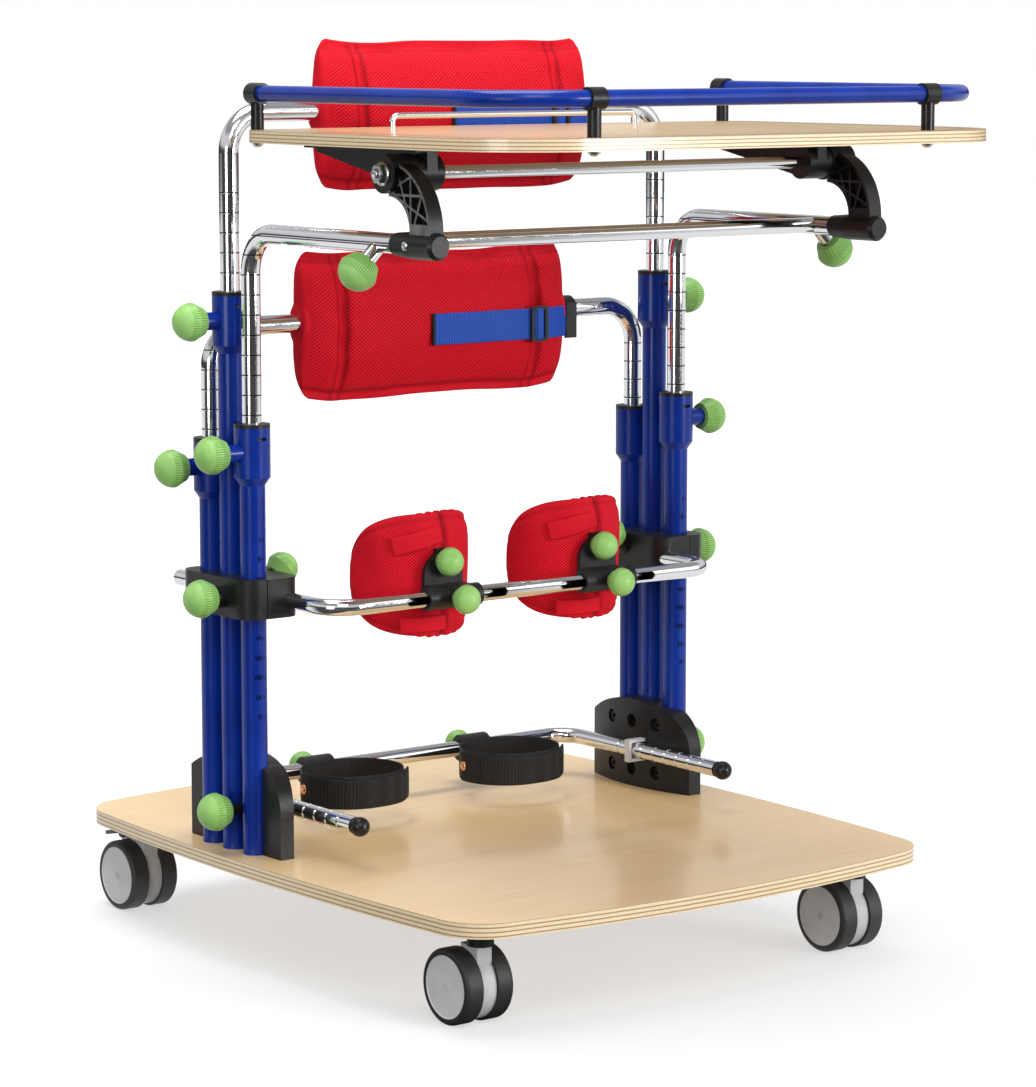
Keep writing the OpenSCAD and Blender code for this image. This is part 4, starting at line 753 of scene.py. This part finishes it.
for letter in "lr":
    cadNode, body = "knee_pad_" + letter, "knee_cup_" + letter
    kneeCup("kneeCushion" + letter.upper(), cadNode, body)
    for tag, place in cupTabs.items():
        cupTab("kneeTab" + tag + letter.upper(), cadNode, body, *place)
print("knee cups made")


# foot straps

footStrap = {
    "thick": 0.0020, "inset": 0.0030, "steps": 200,
    "outer": 0.0027, "outerIn": 0.0004, "from": -102.0, "to": 44.0, "tail": 0.017,
    "rib": 0.0038, "ribCells": 8, "ribDeep": 0.38, "groove": 0.3, "sag": 0.0016, "widest": 0.97, "narrower": 0.13,
    "rivetAt": -95.0, "rivetOut": 0.0004,
    "rivet": [(0, 0.0020), (0.0028, 0.0018), (0.0046, 0.0010), (0.0052, 0), (0.0052, -0.0012), (0, -0.0012)],
}


def stadium(cx, cy, z, wide, deep, count):
    # two half circles joined by straight runs, walked at even steps: a is the angle turned, along the place on the runs
    r, run = deep / 2, wide - deep
    bend = pi * r
    s = np.linspace(0, 2 * run + 2 * bend, count, endpoint=False)
    a = np.clip((s - run) / r, 0, pi) + np.clip((s - 2 * run - bend) / r, 0, None)
    along = np.clip(s, 0, run) - np.clip(s - run - bend, 0, run) - run / 2
    path = np.stack([cx + along + r * np.sin(a), cy - r * np.cos(a), np.full_like(s, z)], -1)
    return path, s[-1] + s[1]


def footLoop(name, cadNode, body):
    # the smooth inner band
    lo, hi = corners(cadNode)
    cx, cy, cz = (lo + hi) / 2
    wide, deep = (float(hi[i] - lo[i]) - 2 * footStrap["inset"] for i in (0, 1))
    path, length = stadium(cx, cy, cz, wide, deep, footStrap["steps"])
    obj = ribbon(name, path, hi[2] - lo[2], footStrap["thick"], (0, 0, 1), closed=True)
    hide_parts(cadNode)
    dressed(obj, blackWebbing, body)


def footTail(name, cadNode, body):
    # the ribbed outer band: riveted at the left end, it runs round the front and leaves it straight on at the right;
    # its thickness drops in a groove at every rib's pitch, and it sags and narrows round the left bend
    lo, hi = corners(cadNode)
    cx, cy, cz = (lo + hi) / 2
    r = (hi[1] - lo[1]) / 2 - footStrap["outerIn"]
    run = (hi[0] - lo[0]) / 2 - (hi[1] - lo[1]) / 2
    first, last = math.radians(footStrap["from"]), math.radians(footStrap["to"])
    stops = np.cumsum([0, -first * r, 2 * run, last * r, footStrap["tail"]])
    s = np.arange(0, stops[-1], footStrap["rib"] / footStrap["ribCells"])
    a = np.where(s < stops[1], first + s / r, np.clip((s - stops[2]) / r, 0, last))
    mid = np.clip(s - stops[1], 0, 2 * run) - run
    out = np.clip(s - stops[3], 0, None)
    droop = np.exp(-((a + 0.35) / 0.75) ** 2)
    x = cx + mid + r * np.sin(a) + out * np.cos(a)
    y = cy - r * np.cos(a) + out * np.sin(a)
    path = np.stack([x, y, cz - footStrap["sag"] * droop], -1)
    wide = (hi[2] - lo[2]) * (footStrap["widest"] - footStrap["narrower"] * droop)
    groove = (s / footStrap["rib"]) % 1 < footStrap["groove"]
    obj = ribbon(name, path, wide, footStrap["outer"] * (1 - footStrap["ribDeep"] * groove), (0, 0, 1))
    dressed(obj, blackWebbing, body)
    at = math.radians(footStrap["rivetAt"])
    away = np.array([math.sin(at), -math.cos(at), 0])
    place = np.array([cx - run, cy, cz]) + away * (r + footStrap["outer"] / 2 + footStrap["rivetOut"])
    dressed(revolve(name.replace("Tail", "Rivet"), footStrap["rivet"], place, away), copper, body)


for letter in "lr":
    loop, cadNode, body = "footLoop" + letter.upper(), "foot_strap_" + letter, "strap_" + letter
    footLoop(loop, cadNode, body)
    footTail("footTail" + letter.upper(), cadNode, body)
print("foot straps made")


# webbing of the back pads

padStrap = {
    "drop": 0.012, "wide": 0.033, "thick": 0.0016, "from": -0.018, "cells": 110,
    "padTo": 0.112, "above": 0.0011, "feel": 0.004,
    "hem": 0.004, "hemOut": 0.0006, "hemWider": 0.001, "hemThick": 0.0022,
    "knots": ((0.104, -0.0275), (0.1085, -0.0288), (0.1135, -0.0290), (0.1185, -0.0344), (0.1235, -0.0344),
              (0.1285, -0.0290), (0.1335, -0.0280), (0.150, -0.0215), (0.1706, -0.0128)),
}


def frontLine(obj, x, z, half):
    # the foremost y of a cushion under a level band, at each x
    co = pointsOf(obj.data)
    co = co[np.abs(co[:, 2] - z) < half]
    return np.array([co[np.abs(co[:, 0] - at) < padStrap["feel"]][:, 1].min() for at in x])


def backStrap(name, cushion, body, cadNode):
    # a band that lies on the cushion, goes behind the ladder buckle's outer bars and over its middle one, and ends at
    # the hook; from the buckle on its path runs through a few (x, y) knots
    lo, hi = corners(cadNode)
    y0, z0 = lo[1] + pad["ahead"], (lo[2] + hi[2]) / 2 + armLift - padStrap["drop"]
    knots = np.array(padStrap["knots"])
    x = np.linspace(padStrap["from"], knots[-1, 0], padStrap["cells"])
    y = np.interp(x, knots[:, 0], knots[:, 1])
    onPad = x < padStrap["padTo"]
    top = frontLine(cushion, x[onPad], z0, padStrap["wide"] / 2) - y0 - padStrap["above"]
    y[onPad] = np.minimum(y[onPad], top)
    y = np.convolve(np.pad(y, 1, "edge"), np.ones(3) / 3, "valid")
    path = np.stack([x, y0 + y, np.full_like(x, z0)], -1)
    obj = ribbon(name, path, padStrap["wide"], padStrap["thick"], (0, 0, 1))
    dressed(obj, blueWebbing, body)
    end = path[path[:, 0] < padStrap["from"] + padStrap["hem"]] - np.array([padStrap["hemOut"], padStrap["hemOut"], 0])
    hem = ribbon(name + "Hem", end, padStrap["wide"] + padStrap["hemWider"], padStrap["hemThick"], (0, 0, 1))
    dressed(hem, blackWebbing, body)


backStrap("dorsalStrap", dorsalCushion, "dorsal", "dorsal_pad")
backStrap("pelvicStrap", pelvicCushion, "pelvic", "pelvic_pad")
print("webbing made")


# nuts and screws

hub = {
    "axis": (-0.173, 0.808), "face": 0.290,
    "washer": [(0, 0), (0.0115, 0), (0.0115, 0.0013), (0.004, 0.0016), (0, 0.0016)],
    "nut": [(0, 0.0014), (0.0098, 0.0014), (0.0098, 0.0066), (0.0084, 0.0078), (0, 0.0078)],
    "tip": [(0.005, 0.007), (0.005, 0.0092), (0.0035, 0.0104), (0, 0.0106)],
}
sleeveScrew = {"place": (-0.205, 0.742), "out": 0.288, "r": 0.0045, "high": 0.0022}
postNut = {"r": 0.0062, "high": 0.0052, "frontX": 0.206, "frontIn": 0.0105, "rearX": 0.297, "rearIn": 0.009}
domeFoot = 0.0004   # how far a dome is let in


def boltFace(name, centre, axis, body):
    # washer, hexagon nut and rounded bolt end on one axis
    washer = revolve(name + "a", hub["washer"], centre, axis)
    nut = revolve(name + "b", hub["nut"], centre, axis, 6)
    tip = revolve(name + "c", hub["tip"], centre, axis)
    nut.data.polygons.foreach_set("use_smooth", np.zeros(len(nut.data.polygons), bool))
    dressed(joined(name, [washer, nut, tip]), brightSteel, body)


def dome(name, centre, axis, shape, body):
    # a quarter ellipse turned round the axis
    r, high = shape["r"], shape["high"]
    arch = [(r * math.cos(t), high * math.sin(t)) for t in np.linspace(0, pi / 2, 7)]
    obj = revolve(name, [(0, -domeFoot), (r, -domeFoot)] + arch, centre, axis, 24)
    dressed(obj, brightSteel, body)


postLo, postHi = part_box("rail_posts")
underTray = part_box("tray_board")[0][2]
postPlaces = {
    "Front": (postNut["frontX"], postLo[1] + postNut["frontIn"]),
    "Rear": (postNut["rearX"], postHi[1] - postNut["rearIn"]),
}
for letter, s in (("L", -1), ("R", 1)):
    boltFace("hubNut" + letter, (s * hub["face"], *hub["axis"]), (s, 0, 0), "tray_reach")
    dome("sleeveScrew" + letter, (s * sleeveScrew["out"], *sleeveScrew["place"]), (s, 0, 0), sleeveScrew, "tray_reach")
    for tag, (x, y) in postPlaces.items():
        dome("postNut" + tag + letter, (s * x, y, underTray), (0, 0, -1), postNut, "tray")
print("nuts and screws made")


# scale on the front tubes

tubeScale = {
    "words": "I II III IV V VI VII VIII IX X".split(), "top": 0.436, "pitch": 0.020,
    "tubeX": 0.275, "tubeY": 0.0765, "r": 0.01312,
    "size": 0.0066, "bold": 0.00022, "numeralEnd": 0.0006, "tick": (0.0018, 0.0056), "tickHigh": 0.0009,
}


def numeral(word, z):
    # a flat numeral in the plane y = 0, its right end just past x = 0
    text = bpy.data.curves.new("numeral", "FONT")
    text.body, text.size, text.align_x, text.align_y = word, tubeScale["size"], "RIGHT", "CENTER"
    text.offset = tubeScale["bold"]
    holder = placed("numeral", text)
    bpy.context.view_layer.update()
    mesh = bpy.data.meshes.new_from_object(holder.evaluated_get(bpy.context.evaluated_depsgraph_get()))
    bpy.data.objects.remove(holder)
    co = pointsOf(mesh)
    flat = np.stack([co[:, 0] + tubeScale["numeralEnd"], np.zeros(len(co)), co[:, 1] + z], -1)
    mesh.vertices.foreach_set("co", flat.reshape(-1))
    return placed("numeral", mesh)


def scaleMarks(name, s):
    # each flat mark is bent round the tube: a point's place across the mark becomes an angle
    x = np.linspace(*tubeScale["tick"], 5)
    edges = [np.stack([x, 0 * x, 0 * x + way * tubeScale["tickHigh"] / 2], -1) for way in (-1, 1)]
    flats = []
    for i, word in enumerate(tubeScale["words"]):
        z = tubeScale["top"] - i * tubeScale["pitch"]
        flats += [numeral(word, z), surface("tick", np.stack(edges) + np.array([0, 0, z]))]
    obj = joined(name, flats)
    co = pointsOf(obj.data)
    r, a = tubeScale["r"], co[:, 0] / tubeScale["r"]
    bent = np.stack([s * tubeScale["tubeX"] + r * np.sin(a), tubeScale["tubeY"] - r * np.cos(a), co[:, 2]], -1)
    obj.data.vertices.foreach_set("co", bent.reshape(-1))
    obj.data.materials.clear()
    dressed(obj, scaleInk, "base")


scaleMarks("tubeScaleL", -1)
scaleMarks("tubeScaleR", 1)
print("scale made")


# floor, light and camera

stage = {
    "floor": (0.40, 0.40, 0.405), "under": (0.012, 0.012, 0.012), "reach": 14.0, "bounce": 0.19,
    "glow": (0.56, 1.0), "glowAt": (0.7, 2.4),
    "mirrored": (0.85, 0.005), "mirroredAt": (0.10, 0.42), "darkTo": (-0.606, -0.796, 0),
    "lamps": {"key": ((-1.9, -3.0, 3.1), 50, 1.8), "front": ((1.5, -3.6, 1.0), 80, 1.2),
              "left": ((-3.3, -1.5, 0.8), 26, 1.2), "top": ((-0.2, 0.2, 3.4), 96, 2.2),
              "fill": ((2.9, -2.2, 1.6), 14, 2.2)},
    "aim": (0, 0, 0.4),
    "sky": ((0.0, 0.05), (0.09, 0.05), (0.18, 0.62), (0.45, 0.75), (0.62, 0.30), (1.0, 0.45)), "skyBlue": 1.02,
}


def floorFinish():
    # seen directly the floor glows more with its distance from the middle, to end in white; mirrored in a tube it is
    # pale behind the object and dark in front of it; other rays meet an even glow
    mat = finish("floorSheet", stage["floor"], 0.7, Emission_Color=(1, 1, 1, 1))
    ray = node(mat, "LightPath").outputs
    seen = ray["Is Camera Ray"]
    toDark = vectorMaths(mat, "DOT_PRODUCT", vectorMaths(mat, "NORMALIZE", coords(mat)), stage["darkTo"])
    mirrored = ranged(mat, toDark, *stage["mirroredAt"], *stage["mirrored"])
    extra = maths(mat, "SUBTRACT", mirrored, stage["bounce"])
    hidden = maths(mat, "MULTIPLY_ADD", ray["Is Glossy Ray"], extra, stage["bounce"])
    glow = ranged(mat, vectorMaths(mat, "LENGTH", coords(mat)), *stage["glowAt"], *stage["glow"])
    glow = maths(mat, "MULTIPLY_ADD", seen, maths(mat, "SUBTRACT", glow, hidden), hidden)
    shaderLink(mat, glow, "Emission Strength")
    shaderLink(mat, blendColors(mat, seen, stage["under"], stage["floor"]), "Base Color")
    return mat


side = np.linspace(-1, 1, 3)
floorPts = np.stack(np.meshgrid(side, side, indexing="ij") + [np.zeros((3, 3))], -1) * stage["reach"]
floor = surface("floor", floorPts)
floor.data.materials.append(floorFinish())


def aimAt(obj, place, target):
    away = np.asarray(place, float) - np.asarray(target, float)
    back = away / np.linalg.norm(away)
    right = np.cross((0, 0, 1), back)
    right /= np.linalg.norm(right)
    turn = np.eye(4)
    turn[:3] = np.stack([right, np.cross(back, right), back, place], -1)
    obj.matrix_world = Matrix(turn.tolist())


for name, (place, power, size) in stage["lamps"].items():
    lamp = bpy.data.lights.new(name, "AREA")
    lamp.energy, lamp.size = power, size
    aimAt(placed(name, lamp), place, stage["aim"])

# the camera sees plain white; other rays meet a sky whose tone follows its height
world = bpy.data.worlds.new("studio")
bpy.context.scene.world = world
world.use_nodes = True
sky = world.node_tree.nodes["Background"]
plain = node(world, "Background", {"Color": (1, 1, 1, 1), "Strength": 1.0})
ramp = node(world, "ValToRGB", {0: axes(world, "Generated")[2]})
for at, tone in stage["sky"]:
    stops = ramp.color_ramp.elements
    stop = stops.new(at) if 0 < at < 1 else stops[0 if at == 0 else -1]
    stop.color = (tone, tone, tone * stage["skyBlue"], 1)
world.node_tree.links.new(ramp.outputs[0], sky.inputs["Color"])
sky.inputs["Strength"].default_value = 1.0
seen = node(world, "LightPath").outputs["Is Camera Ray"]
pick = node(world, "MixShader", {0: seen, 1: sky.outputs[0], 2: plain.outputs[0]})
world.node_tree.links.new(pick.outputs[0], world.node_tree.nodes["World Output"].inputs["Surface"])
bpy.context.scene.view_settings.view_transform = "Standard"

eye = {"place": (-2.3176, -3.0429, 0.9397), "yaw": 37.305, "pitch": 7.789, "lens": 123.95, "sensor": 36.0}
lens = bpy.data.cameras.new("camera")
lens.sensor_fit = "VERTICAL"
lens.sensor_height = eye["sensor"]
lens.lens = eye["lens"]
camera = placed("camera", lens)
camera.location = eye["place"]
camera.rotation_euler = (math.radians(90 - eye["pitch"]), 0, math.radians(-eye["yaw"]))
bpy.context.scene.camera = camera
print("stage set")

bpy.context.view_layer.update()
